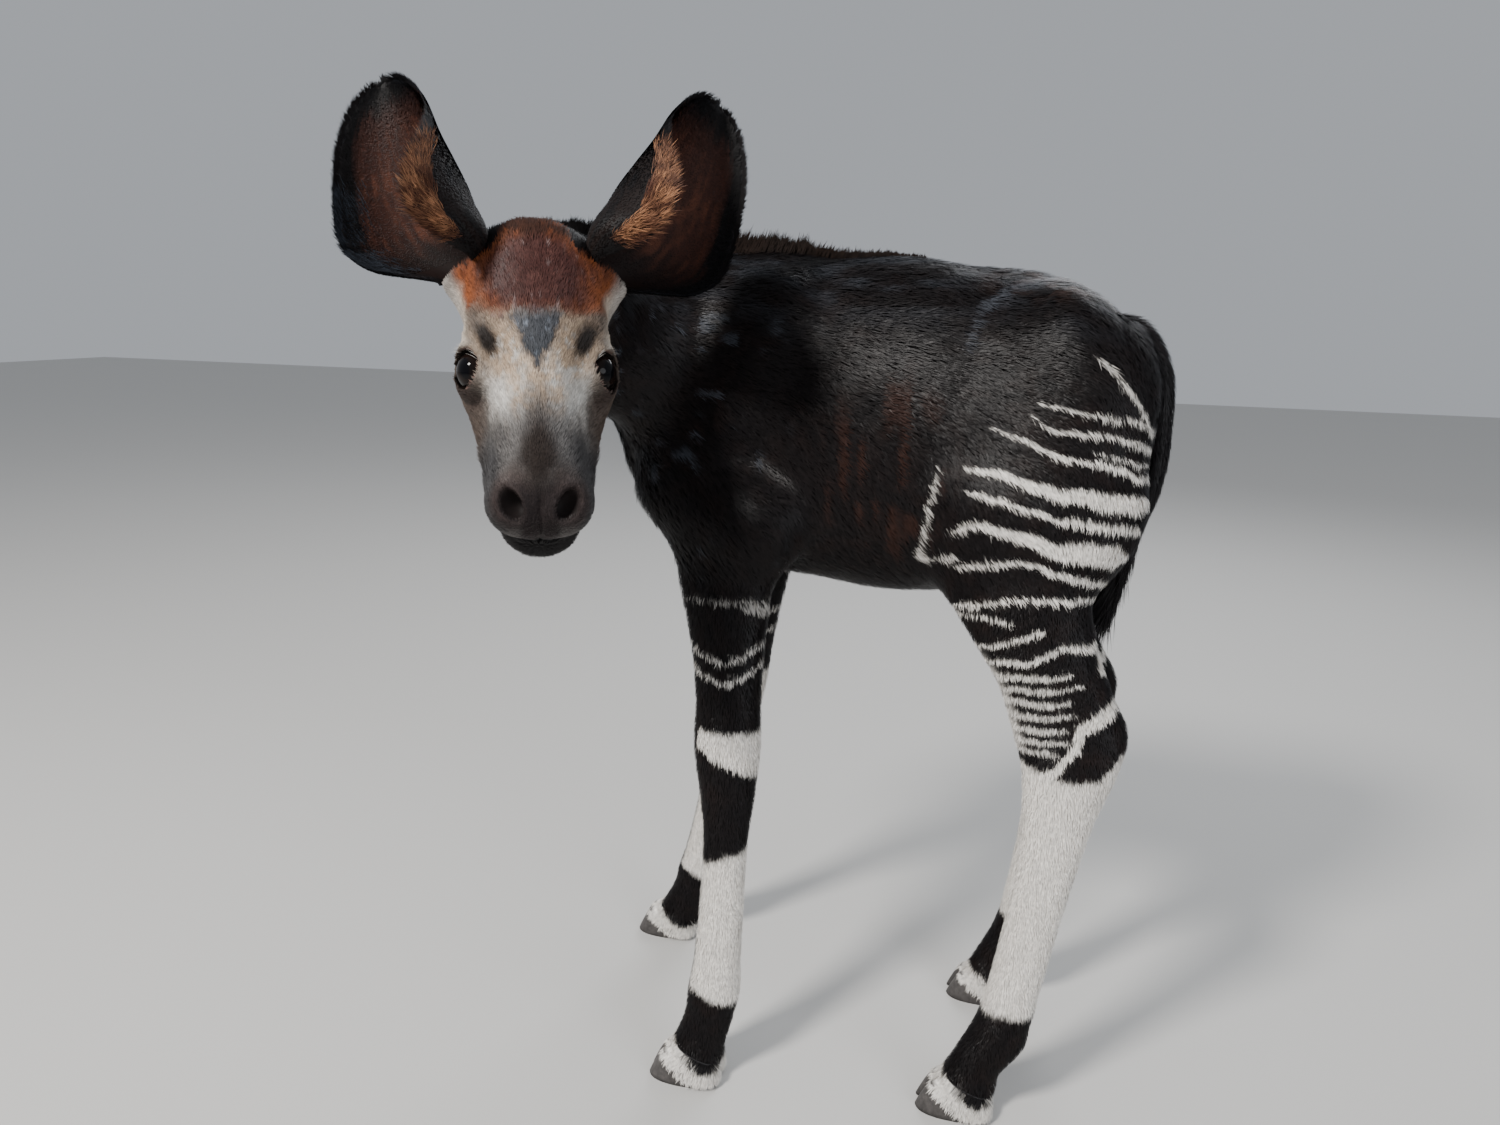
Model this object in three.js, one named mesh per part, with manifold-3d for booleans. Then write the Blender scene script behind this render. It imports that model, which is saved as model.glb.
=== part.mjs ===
// A newborn okapi calf, standing square and looking round over its left shoulder: a still, life-size model.
// Millimetres, +Z up. The body points to -X, its left side to -Y, and the soles stand on z = 0.
// One smooth body field is meshed part by part, and the parts are cut apart along thin planes.
import * as THREE from "three";
import { mergeVertices } from "three/addons/utils/BufferGeometryUtils.js";
import Module from "manifold-3d";

const wasm = await Module();
wasm.setup();
const V3 = (x, y, z) => new THREE.Vector3(x, y, z);
const DEG = Math.PI / 180;

// Driving dimensions
const GAP = 0.3; // between parts that touch
const EAR_HALF_WIDTH = 56;
const EAR_THICKNESS = 4.5;
const EYE_RADIUS = 16.5;
const MANE_HEIGHT = 24;
const HOOF_HEIGHT = 25;

// Trunk sections along x: height of the back and of the underline, and half the width
const TRUNK = [
  { x: -300, back: 706, under: 548, half: 58 },
  { x: -250, back: 758, under: 512, half: 76 },
  { x: -200, back: 785, under: 492, half: 87 },
  { x: -140, back: 784, under: 484, half: 95 },
  { x: -80, back: 787, under: 478, half: 99 },
  { x: -20, back: 780, under: 484, half: 97 },
  { x: 40, back: 775, under: 512, half: 87 },
  { x: 80, back: 762, under: 548, half: 74 },
  { x: 104, back: 742, under: 580, half: 62 },
];
const TRUNK_END = 36; // radius of the rounded ends

// Leg sections by height: the middle of the leg, half its depth along x and half its width
const FORE_LEG = [
  { z: 20, x: -234, depth: 27, width: 20 },
  { z: 48, x: -224, depth: 26, width: 19 },
  { z: 70, x: -218, depth: 25, width: 20 },
  { z: 92, x: -215, depth: 26.5, width: 21.5 },
  { z: 125, x: -213, depth: 24, width: 19 },
  { z: 190, x: -211, depth: 22.5, width: 17.5 },
  { z: 245, x: -210, depth: 22.5, width: 18.5 },
  { z: 290, x: -210, depth: 27, width: 22 },
  { z: 335, x: -212, depth: 32.5, width: 25.5 },
  { z: 385, x: -213, depth: 32, width: 25 },
  { z: 440, x: -216, depth: 37, width: 27 },
  { z: 500, x: -221, depth: 47, width: 30 },
  { z: 560, x: -224, depth: 52, width: 32 },
];
const HIND_LEG = [
  { z: 20, x: 25, depth: 28, width: 20 },
  { z: 48, x: 38, depth: 27, width: 19 },
  { z: 72, x: 52, depth: 29, width: 21 },
  { z: 95, x: 59, depth: 26, width: 21 },
  { z: 130, x: 66, depth: 25, width: 19 },
  { z: 190, x: 76, depth: 25.5, width: 18 },
  { z: 250, x: 85, depth: 28, width: 19 },
  { z: 300, x: 91, depth: 33, width: 22 },
  { z: 345, x: 96, depth: 43, width: 26 },
  { z: 385, x: 92, depth: 53, width: 24 },
  { z: 420, x: 77, depth: 52, width: 25 },
  { z: 460, x: 56, depth: 57, width: 30 },
  { z: 505, x: 40, depth: 68, width: 35 },
  { z: 580, x: 45, depth: 84, width: 38 },
];
const LEG_TOP_Z = 520; // above this the legs hang straight in the trunk
// Each leg: its sections, its side, how far its foot is slid along x,
// and its distance from the middle at foot and top
const LEGS = {
  fore_left: { sections: FORE_LEG, side: -1, slide: 0, foot: 116, top: 75 },
  fore_right: { sections: FORE_LEG, side: 1, slide: -88, foot: 122, top: 75 },
  hind_left: { sections: HIND_LEG, side: -1, slide: 0, foot: 98, top: 66 },
  hind_right: { sections: HIND_LEG, side: 1, slide: 22, foot: 86, top: 66 },
};

// Muscle masses for y = |y|: from a to b, radii ra and rb, and flatness across
const MUSCLES = [
  { a: [-205, 52, 722], b: [-258, 70, 592], ra: 42, rb: 42, flat: 0.7 }, // shoulder blade
  { a: [-262, 70, 580], b: [-205, 78, 548], ra: 38, rb: 40, flat: 0.75 }, // upper arm
  { a: [60, 46, 690], b: [18, 64, 590], ra: 62, rb: 60, flat: 0.68 }, // front of the thigh
  { a: [76, 46, 660], b: [80, 56, 570], ra: 56, rb: 54, flat: 0.68 }, // back of the thigh
];
const MUSCLE_BLEND = 34;
const LEG_BLEND = 30;

// Neck sections from the trunk to the head: middle, half the depth and flatness across
const NECK = [
  { at: [-205, 0, 672], deep: 88, flat: 0.62 },
  { at: [-262, -18, 690], deep: 80, flat: 0.62 },
  { at: [-315, -72, 710], deep: 66, flat: 0.66 },
  { at: [-346, -132, 728], deep: 55, flat: 0.72 },
  { at: [-352, -192, 738], deep: 46, flat: 0.8 },
];
const NECK_BLEND = 40;

// The head's own frame: u runs down the face to the nose, v out of the forehead, w to the calf's right
const FACE_TILT = 38 * DEG;
const HEAD_AT = V3(-328, -245, 690);
const FACING = V3(0.395, -0.919, 0).normalize();
const HEAD_U = FACING.clone().multiplyScalar(Math.sin(FACE_TILT)).add(V3(0, 0, -Math.cos(FACE_TILT)));
const HEAD_V = FACING.clone().multiplyScalar(Math.cos(FACE_TILT)).add(V3(0, 0, Math.sin(FACE_TILT)));
const HEAD_W = V3().crossVectors(HEAD_U, HEAD_V);
const HEAD_FRAME = new THREE.Matrix4().makeBasis(HEAD_U, HEAD_V, HEAD_W).setPosition(HEAD_AT);
const EYE_AT = V3(12, 9, 41.5);
const EYE_LOOKS = V3(0.3, 0.73, 0.61).normalize();
const LID_RADIUS = EYE_RADIUS + 3;
const EAR_FOOT = V3(-78, 9, 53);
const EARS = {
  left: { axis: V3(-0.74, 0.46, 0.55).normalize(), length: 163 },
  right: { axis: V3(-0.8, 0.5, 0.36).normalize(), length: 148 },
};
const EAR_OPENS = V3(0.56, 0.71, 0.42);

// Bones and flesh of the head for w = |w|: round bars, and ellipsoids with their radii
const HEAD_BARS = [
  { a: [-10, 2, 0], b: [84, -4, 0], ra: 47, rb: 33, flat: 1.0 }, // face
  { a: [8, 30, 0], b: [100, 12, 0], ra: 20, rb: 14, flat: 1.2 }, // bridge of the nose
  { a: [-40, -36, 30], b: [84, -38, 13], ra: 22, rb: 13, flat: 0.8 }, // lower jaw
  { a: [-20, 26, 38], b: [24, 21, 41], ra: 12, rb: 9, flat: 1 }, // brow
  { a: [8, -10, 47], b: [88, -16, 24], ra: 11, rb: 11, flat: 1 }, // cheekbone
  { a: [-54, -4, 28], b: [-90, 14, 60], ra: 26, rb: 22, flat: 1 }, // foot of the ear
];
const HEAD_BALLS = [
  { at: [-56, 6, 0], radii: [58, 46, 50] }, // skull
  { at: [-46, 21, 0], radii: [60, 34, 50] }, // forehead
  { at: [-18, -28, 37], radii: [46, 36, 15] }, // cheek muscle
  { at: [8, 6, 42], radii: [26, 22, 17] }, // eye socket rim
  { at: [104, -8, 0], radii: [33, 25, 36] }, // muzzle
  { at: [116, -3, 19], radii: [18, 15, 17] }, // nostril wing
  { at: [109, -38, 0], radii: [28, 20, 30] }, // lower lip and chin
];
const HEAD_BLEND = 14;

// Field helpers: a field is negative inside the body
const lerp = (a, b, t) => a + (b - a) * t;
const clamp = (t, lo, hi) => Math.min(Math.max(t, lo), hi);

function softUnion(a, b, blend) {
  const h = Math.max(blend - Math.abs(a - b), 0) / blend;
  return Math.min(a, b) - h * h * blend * 0.25;
}

// A smooth value at `at` through the sections' values of one name
function through(sections, key, name, at) {
  const last = sections.length - 1;
  if (at <= sections[0][key]) return sections[0][name];
  if (at >= sections[last][key]) return sections[last][name];
  let i = 0;
  while (sections[i + 1][key] < at) i++;
  const slope = (j) => {
    const lo = Math.max(j - 1, 0);
    const hi = Math.min(j + 1, last);
    return (sections[hi][name] - sections[lo][name]) / (sections[hi][key] - sections[lo][key]);
  };
  const step = sections[i + 1][key] - sections[i][key];
  const t = (at - sections[i][key]) / step;
  const a = sections[i][name];
  const b = sections[i + 1][name];
  const bend = (1 - t) * (slope(i) * step - (b - a)) - t * (slope(i + 1) * step - (b - a));
  return lerp(a, b, t) + t * (1 - t) * bend;
}

function bar(x, y, z, { a, b, ra, rb, flat }, side) {
  const bx = b[0] - a[0];
  const by = b[1] - a[1];
  const bz = b[2] - a[2];
  const px = x - a[0];
  const py = y - a[1];
  const pz = z - a[2];
  const t = clamp((px * bx + py * by + pz * bz) / (bx * bx + by * by + bz * bz), 0, 1);
  const dx = px - t * bx;
  const dy = py - t * by;
  const dz = pz - t * bz;
  const across = dx * side[0] + dy * side[1] + dz * side[2];
  const rest = dx * dx + dy * dy + dz * dz - across * across;
  return Math.sqrt(Math.max(rest, 0) + (across * across) / (flat * flat)) - lerp(ra, rb, t);
}

function ball(x, y, z, { at, radii }) {
  const dx = (x - at[0]) / radii[0];
  const dy = (y - at[1]) / radii[1];
  const dz = (z - at[2]) / radii[2];
  const q = Math.hypot(dx, dy, dz);
  const grad = Math.hypot(dx / radii[0], dy / radii[1], dz / radii[2]);
  return grad < 1e-9 ? -Math.min(...radii) : (q * (q - 1)) / grad;
}

// An oval section seen along its axis, rounded off by `past` beyond its end
function oval(dx, dy, rx, ry, past, round) {
  const across = (Math.hypot(dx / rx, dy / ry) - 1) * Math.min(rx, ry);
  return past > 0 ? Math.hypot(Math.max(across + round, 0), past) - round : across;
}

// Body fields
function trunk(x, y, z) {
  const first = TRUNK[0].x;
  const last = TRUNK[TRUNK.length - 1].x;
  const at = clamp(x, first, last);
  const back = through(TRUNK, "x", "back", at);
  const under = through(TRUNK, "x", "under", at);
  const half = through(TRUNK, "x", "half", at);
  const past = Math.max(first - x, x - last);
  return oval(y, z - (back + under) / 2, half, (back - under) / 2, past, TRUNK_END);
}

function leg(x, y, z, { sections, side, slide, foot, top }) {
  const down = clamp(1 - z / LEG_TOP_Z, 0, 1);
  const cx = through(sections, "z", "x", z) + slide * down;
  const cy = side * lerp(top, foot, down);
  const depth = through(sections, "z", "depth", z);
  const width = through(sections, "z", "width", z);
  const highest = sections[sections.length - 1].z;
  return oval(x - cx, y - cy, depth, width, Math.max(sections[0].z - z, z - highest), width);
}

const NECK_BARS = NECK.slice(1).map((to, i) => {
  const from = NECK[i];
  const side = V3(from.at[1] - to.at[1], to.at[0] - from.at[0], 0).normalize();
  const flat = (from.flat + to.flat) / 2;
  return { bar: { a: from.at, b: to.at, ra: from.deep, rb: to.deep, flat }, side: side.toArray() };
});

function neck(x, y, z) {
  return NECK_BARS.reduce((d, n) => softUnion(d, bar(x, y, z, n.bar, n.side), NECK_BLEND), 1e3);
}

const TO_HEAD = HEAD_FRAME.clone().invert();
const head = (x, y, z) => headAt(V3(x, y, z).applyMatrix4(TO_HEAD));

function headAt(point) {
  const u = point.x;
  const v = point.y;
  const w = Math.abs(point.z);
  let d = 1e3;
  for (const b of HEAD_BARS) d = softUnion(d, bar(u, v, w, b, [0, 0, 1]), HEAD_BLEND);
  for (const b of HEAD_BALLS) d = softUnion(d, ball(u, v, w, b), HEAD_BLEND);
  return softUnion(d, Math.hypot(u - EYE_AT.x, v - EYE_AT.y, w - EYE_AT.z) - LID_RADIUS, 4);
}

function body(x, y, z) {
  let d = trunk(x, y, z);
  for (const m of MUSCLES) d = softUnion(d, bar(x, Math.abs(y), z, m, [0, 1, 0]), MUSCLE_BLEND);
  for (const l of Object.values(LEGS)) d = softUnion(d, leg(x, y, z, l), LEG_BLEND);
  if (x < 0) d = softUnion(softUnion(d, neck(x, y, z), NECK_BLEND), head(x, y, z), LEG_BLEND);
  return d;
}

// Meshes the zero level of a field in a box, with one point in each cell that it crosses.
// The box may be turned and set by a frame, so that its cells follow the part.
function netSurface(field, low, high, step, frame = new THREE.Matrix4()) {
  const counts = [0, 1, 2].map((k) => Math.ceil((high[k] - low[k]) / step[k]) + 3);
  const [nx, ny, nz] = counts;
  const place = (...ijk) => V3(...ijk.map((n, axis) => low[axis] + (n - 1) * step[axis]));
  const index = (i, j, k) => (i * ny + j) * nz + k;
  const values = new Float64Array(nx * ny * nz).fill(1);
  for (let i = 1; i < nx - 1; i++)
    for (let j = 1; j < ny - 1; j++)
      for (let k = 1; k < nz - 1; k++) {
        const p = place(i, j, k).applyMatrix4(frame);
        values[index(i, j, k)] = field(p.x, p.y, p.z) || 1e-6;
      }
  const points = [];
  const pointOf = new Map();
  const pointIn = (i, j, k) => {
    const key = index(i, j, k);
    if (!pointOf.has(key)) {
      const sum = V3();
      let crossings = 0;
      const corner = (c) => [i + (c & 1), j + ((c >> 1) & 1), k + (c >> 2)];
      for (let a = 0; a < 8; a++)
        for (const bit of [1, 2, 4]) {
          if (a & bit) continue;
          const [from, to] = [corner(a), corner(a | bit)];
          const [va, vb] = [values[index(...from)], values[index(...to)]];
          if (va < 0 === vb < 0) continue;
          sum.add(place(...from).lerp(place(...to), va / (va - vb)));
          crossings++;
        }
      pointOf.set(key, points.length / 3);
      points.push(...sum.divideScalar(crossings).applyMatrix4(frame).toArray());
    }
    return pointOf.get(key);
  };
  const faces = [];
  const axes = [[1, 0, 0], [0, 1, 0], [0, 0, 1]];
  for (let i = 0; i < nx - 1; i++)
    for (let j = 0; j < ny - 1; j++)
      for (let k = 0; k < nz - 1; k++)
        for (let axis = 0; axis < 3; axis++) {
          const e = axes[axis];
          const inside = values[index(i, j, k)] < 0;
          if (inside === values[index(i + e[0], j + e[1], k + e[2])] < 0) continue;
          const f = axes[(axis + 1) % 3];
          const g = axes[(axis + 2) % 3];
          const cell = (s, t) => pointIn(...[i, j, k].map((n, axis) => n - s * f[axis] - t * g[axis]));
          const quad = [cell(0, 0), cell(1, 0), cell(1, 1), cell(0, 1)];
          if (!inside) quad.reverse();
          faces.push(quad[0], quad[1], quad[2], quad[0], quad[2], quad[3]);
        }
  return solid(points, faces);
}

// Solids
function solid(points, faces) {
  const mesh = new wasm.Mesh({
    numProp: 3,
    vertProperties: new Float32Array(points),
    triVerts: new Uint32Array(faces),
  });
  return new wasm.Manifold(mesh);
}

function solidOf(geometry, matrix = new THREE.Matrix4()) {
  const g = geometry.clone().applyMatrix4(matrix);
  g.deleteAttribute("normal");
  g.deleteAttribute("uv");
  const merged = mergeVertices(g, 1e-4);
  return solid(merged.attributes.position.array, merged.index.array);
}

// Everything on the side of a plane that its normal points to
const HALF_SPACE = 1200;
function beyond(point, normal, shift = 0) {
  const n = normal.clone().normalize();
  const turn = new THREE.Quaternion().setFromUnitVectors(V3(0, 0, 1), n);
  const centre = point.clone().addScaledVector(n, HALF_SPACE / 2 + shift);
  const matrix = new THREE.Matrix4().compose(centre, turn, V3(1, 1, 1));
  return solidOf(new THREE.BoxGeometry(HALF_SPACE, HALF_SPACE, HALF_SPACE), matrix);
}

function largest(made) {
  const pieces = made.decompose();
  return pieces.reduce((a, b) => (b.volume() > a.volume() ? b : a));
}

function geometryOf(made) {
  const mesh = made.getMesh();
  const geometry = new THREE.BufferGeometry();
  geometry.setAttribute("position", new THREE.BufferAttribute(new Float32Array(mesh.vertProperties), 3));
  geometry.setIndex(new THREE.BufferAttribute(new Uint32Array(mesh.triVerts), 1));
  return geometry;
}

// Materials
function matte(color, roughness = 0.85) {
  return new THREE.MeshStandardMaterial({ color, roughness, metalness: 0 });
}
const COLOURS = { coat: 0x1c1512, face: 0x8d837b, leg: 0x8f8780, ear: 0x171110, horn: 0x6f665c };

const calf = new THREE.Group();
function add(name, made, material) {
  const mesh = new THREE.Mesh(geometryOf(largest(made)), material);
  mesh.name = name;
  calf.add(mesh);
}

// A solid through rings of as many points each, closed by a fan at both ends
function loft(rings, frame = new THREE.Matrix4()) {
  const sides = rings[0].length;
  const flat = rings.flat().map((p) => p.clone().applyMatrix4(frame));
  const ends = [rings[0], rings[rings.length - 1]].map((ring) =>
    ring.reduce((sum, p) => sum.add(p), V3()).divideScalar(sides).applyMatrix4(frame));
  const points = [...flat, ...ends];
  const faces = [];
  const base = (rings.length - 1) * sides;
  for (let j = 0; j < sides; j++) {
    const next = (j + 1) % sides;
    for (let i = 0; i < base; i += sides) {
      faces.push([i + j, i + next, i + sides + next], [i + j, i + sides + next, i + sides + j]);
    }
    faces.push([flat.length, next, j], [flat.length + 1, base + j, base + next]);
  }
  const wedge = ([a, b, c]) => points[a].dot(V3().crossVectors(points[b], points[c]));
  const volume = faces.reduce((sum, f) => sum + wedge(f), 0);
  if (volume < 0) faces.forEach((f) => f.reverse());
  return solid(points.flatMap((p) => p.toArray()), faces.flat());
}

// Seeded random number from -1 to 1
let seed = 7;
function jitter() {
  seed = (seed * 16807) % 2147483647;
  return (seed / 2147483647) * 2 - 1;
}

// A flat tapered lock of hair that leaves its root along `out` and bends towards `to`
function lock(root, out, to, length, width) {
  const broad = V3().crossVectors(out, to).normalize();
  const shape = [[0, 1], [0.35, 0.92], [0.72, 0.62], [1, 0.12]];
  return loft(shape.map(([t, size]) => {
    const centre = root.clone().addScaledVector(out, length * t * (1 - 0.5 * t));
    centre.addScaledVector(to, length * 0.5 * t * t);
    const thick = V3().crossVectors(broad, out.clone().lerp(to, t)).normalize();
    const edge = (b) => centre.clone().addScaledVector(broad, b * width * size);
    const ridge = centre.clone().addScaledVector(thick, 0.28 * width * size);
    return [edge(0.5), ridge, edge(-0.5)];
  }));
}

// Mane: locks stand along the crest of the neck and the withers and lean towards the rump
const MANE_PATH = new THREE.CatmullRomCurve3([
  V3(-349, -178, 0), V3(-346, -132, 0), V3(-315, -72, 0), V3(-262, -18, 0),
  V3(-205, 0, 0), V3(-130, 0, 0), V3(-62, 0, 0),
]);
const MANE_LOCKS = 36;
function crestHeight(x, y) {
  let low = 650;
  let high = 900;
  for (let i = 0; i < 24; i++) {
    const middle = (low + high) / 2;
    if (body(x, y, middle) < 0) low = middle;
    else high = middle;
  }
  return low;
}
const maneLocks = [];
for (let i = 0; i < MANE_LOCKS; i++) {
  const t = (i + 0.5) / MANE_LOCKS;
  const root = MANE_PATH.getPoint(t);
  const back = MANE_PATH.getTangent(t);
  const across = V3(-back.y, back.x, 0);
  root.addScaledVector(across, jitter() * 4);
  root.z = crestHeight(root.x, root.y) - 5;
  const out = V3(0, 0, 1).addScaledVector(back, 0.35).addScaledVector(across, jitter() * 0.2).normalize();
  const to = back.clone().addScaledVector(across, jitter() * 0.4).add(V3(0, 0, 0.3)).normalize();
  const fade = Math.min(1, 0.55 + 3 * (1 - t), 0.7 + 3 * t);
  maneLocks.push(lock(root, out, to, (MANE_HEIGHT + 6) * fade * (1 + 0.12 * jitter()), 15 + 2 * jitter()));
}

// Zones that hold a leg and leave the trunk: beside the midline and under a plane that rises outwards
const LEG_RISE = 20 * DEG;
const LEG_ZONES = {
  fore: { from: -345, to: -152, inner: 36, height: 498 },
  hind: { from: -46, to: 200, inner: 24, height: 508 },
};
function legZone(kind, side, grow) {
  const zone = LEG_ZONES[kind];
  const width = zone.to - zone.from + 2 * grow;
  const box = new THREE.BoxGeometry(width, 200 + grow, 700);
  const middle = V3((zone.from + zone.to) / 2, side * (zone.inner + 100 - grow / 2), 300);
  const upright = solidOf(box, new THREE.Matrix4().setPosition(middle));
  const normal = V3(0, -side * Math.sin(LEG_RISE), Math.cos(LEG_RISE));
  return upright.subtract(beyond(V3(0, side * zone.inner, zone.height), normal, grow));
}

// Trunk
const NECK_ROOT = { at: V3(-268, -30, 690), normal: V3(-0.74, -0.5, 0.45) };
const HEAD_ROOT = { at: V3(-350, -172, 734), normal: V3(0.379, -0.883, -0.011) };
let torso = netSurface(body, [-345, -140, 455], [170, 140, 830], [24, 20, 20]);
torso = wasm.Manifold.union([torso, ...maneLocks]).subtract(beyond(NECK_ROOT.at, NECK_ROOT.normal, -GAP / 2));
for (const side of [-1, 1]) {
  torso = torso.subtract(legZone("fore", side, GAP)).subtract(legZone("hind", side, GAP));
}
torso = largest(torso);
add("torso", torso, matte(COLOURS.coat));

// Neck
let neckPart = netSurface(body, [-425, -245, 560], [-180, 70, 830], [18, 18, 18]);
neckPart = wasm.Manifold.union([neckPart, ...maneLocks]);
neckPart = neckPart.intersect(beyond(NECK_ROOT.at, NECK_ROOT.normal, GAP / 2));
neckPart = neckPart.subtract(beyond(HEAD_ROOT.at, HEAD_ROOT.normal, -GAP / 2));
add("neck", neckPart, matte(COLOURS.coat));

// Head with sockets, lids, nostrils and the line of the mouth
const ballSolid = (centre, radii, turn = new THREE.Quaternion()) => {
  const matrix = new THREE.Matrix4().compose(centre, turn, radii);
  return solidOf(new THREE.SphereGeometry(1, 14, 9), matrix.premultiply(HEAD_FRAME));
};
const round = (radius) => V3(radius, radius, radius);
const flip = (p, side) => V3(p.x, p.y, p.z * side);
let skull = netSurface((x, y, z) => softUnion(head(x, y, z), neck(x, y, z), LEG_BLEND),
  [-135, -120, -90], [150, 90, 90], [10, 9, 10], HEAD_FRAME);
skull = skull.intersect(beyond(HEAD_ROOT.at, HEAD_ROOT.normal, GAP / 2));
const MOUTH = { from: 66, at: -25, line: 1.6, depth: 4.5 };
const gums = (x, y, z) => head(x, y, z) + MOUTH.depth;
const core = netSurface(gums, [40, -60, -60], [150, 40, 60], [12, 9, 12], HEAD_FRAME);
const lips = new THREE.BoxGeometry(110, MOUTH.line, 120);
const lipsAt = HEAD_FRAME.clone().multiply(new THREE.Matrix4().setPosition(V3(MOUTH.from + 55, MOUTH.at, 0)));
skull = skull.subtract(solidOf(lips, lipsAt).subtract(core));
for (const side of [-1, 1]) {
  const looks = flip(EYE_LOOKS, side);
  const turn = new THREE.Quaternion().setFromUnitVectors(V3(0, 0, 1), looks);
  const eye = flip(EYE_AT, side);
  skull = skull.subtract(ballSolid(eye, round(EYE_RADIUS + 1.5 * GAP)));
  skull = skull.subtract(ballSolid(eye.clone().addScaledVector(looks, 18), V3(15.5, 12.5, 13), turn));
  const nostril = V3(104, -4, side * 17);
  const outward = V3(0.75, 0.65, side * 0.1).normalize();
  while (headAt(nostril) < -1) nostril.addScaledVector(outward, 0.5);
  skull = skull.subtract(ballSolid(nostril, V3(9, 8, 9)));
}

// Ears: a leaf that narrows to a tube at its foot, hollowed from the front
const EAR_RINGS = [ // along, half width, turn of the cup in degrees to its outer and inner edge, outward bow
  [0, 20, 88, 120, 0], [0.06, 31, 88, 130, 0], [0.13, 42, 86, 136, 2], [0.22, 48, 82, 140, 4],
  [0.34, 50, 76, 136, 6], [0.48, 47, 70, 122, 7], [0.62, 42, 64, 92, 7], [0.75, 37, 58, 66, 5],
  [0.86, 30, 52, 52, 2], [0.93, 22, 46, 46, 1], [0.98, 12, 42, 42, 0], [1, 4, 40, 40, 0],
];
const EAR_SIDES = 8;
const EAR_SET = 9; // outward, above the foot
function earSolid({ axis, length }, side) {
  const opens = EAR_OPENS.clone().addScaledVector(axis, -EAR_OPENS.dot(axis)).normalize();
  const across = V3().crossVectors(axis, opens);
  const mirror = HEAD_FRAME.clone().multiply(new THREE.Matrix4().makeScale(1, 1, side));
  const ring = (inset, front) => ([t, half, outer, inner, bow]) => {
    const width = (half * EAR_HALF_WIDTH) / 50;
    const radius = width / Math.sin(outer * DEG);
    const centre = EAR_FOOT.clone().addScaledVector(axis, t * length).addScaledVector(opens, radius - 16);
    centre.addScaledVector(across, -bow - EAR_SET * Math.min(1, t * 4));
    const arc = [];
    for (let k = 0; k <= EAR_SIDES; k++) {
      const angle = lerp(-outer, inner, k / EAR_SIDES) * DEG;
      const r = Math.max(radius - inset, 1);
      const out = across.clone().multiplyScalar(Math.sin(angle)).addScaledVector(opens, -Math.cos(angle));
      arc.push(centre.clone().addScaledVector(out, r));
    }
    const lifted = (p) => p.clone().addScaledVector(opens, front);
    return front ? [...arc, lifted(arc[EAR_SIDES]), lifted(arc[0])] : arc;
  };
  const hollow = EAR_RINGS.filter(([t]) => t >= 0.1).map(ring(EAR_THICKNESS, 60));
  return loft(EAR_RINGS.map(ring(0, 0)), mirror).subtract(loft(hollow, mirror));
}
for (const side of [-1, 1]) {
  const name = side < 0 ? "left" : "right";
  const foot = flip(EAR_FOOT, side).applyMatrix4(HEAD_FRAME);
  const axis = flip(EARS[name].axis, side).transformDirection(HEAD_FRAME);
  const stump = new THREE.CylinderGeometry(40, 40, 60, 12);
  const turn = new THREE.Quaternion().setFromUnitVectors(V3(0, 1, 0), axis);
  const above = foot.clone().addScaledVector(axis, 30 - GAP);
  skull = skull.subtract(solidOf(stump, new THREE.Matrix4().compose(above, turn, V3(1, 1, 1))));
  add("ear_" + name, earSolid(EARS[name], side), matte(COLOURS.ear));
  add("eye_" + name, ballSolid(flip(EYE_AT, side), round(EYE_RADIUS)), matte(0x0b0a0c, 0.08));
}
add("head", skull, matte(COLOURS.face));

// Legs: rings about the middle of each leg, drawn out to the body's surface
const LEG_SIDES = 12;
const LEG_RING_STEP = 20.5;
function legSurface(l) {
  const rings = [];
  for (let z = 18; z < 575; z += LEG_RING_STEP) {
    const down = clamp(1 - z / LEG_TOP_Z, 0, 1);
    const cx = through(l.sections, "z", "x", z) + l.slide * down;
    const cy = l.side * lerp(l.top, l.foot, down);
    const ring = [];
    for (let k = 0; k < LEG_SIDES; k++) {
      const angle = (k / LEG_SIDES) * 2 * Math.PI;
      let r = 4;
      while (r < 130 && body(cx + r * Math.cos(angle), cy + r * Math.sin(angle), z) < 0) r += 4;
      let near = r - 4;
      for (let i = 0; i < 12; i++) {
        const middle = (near + r) / 2;
        if (body(cx + middle * Math.cos(angle), cy + middle * Math.sin(angle), z) < 0) near = middle;
        else r = middle;
      }
      ring.push(V3(cx + r * Math.cos(angle), cy + r * Math.sin(angle), z));
    }
    rings.push(ring);
  }
  return loft(rings);
}

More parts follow.
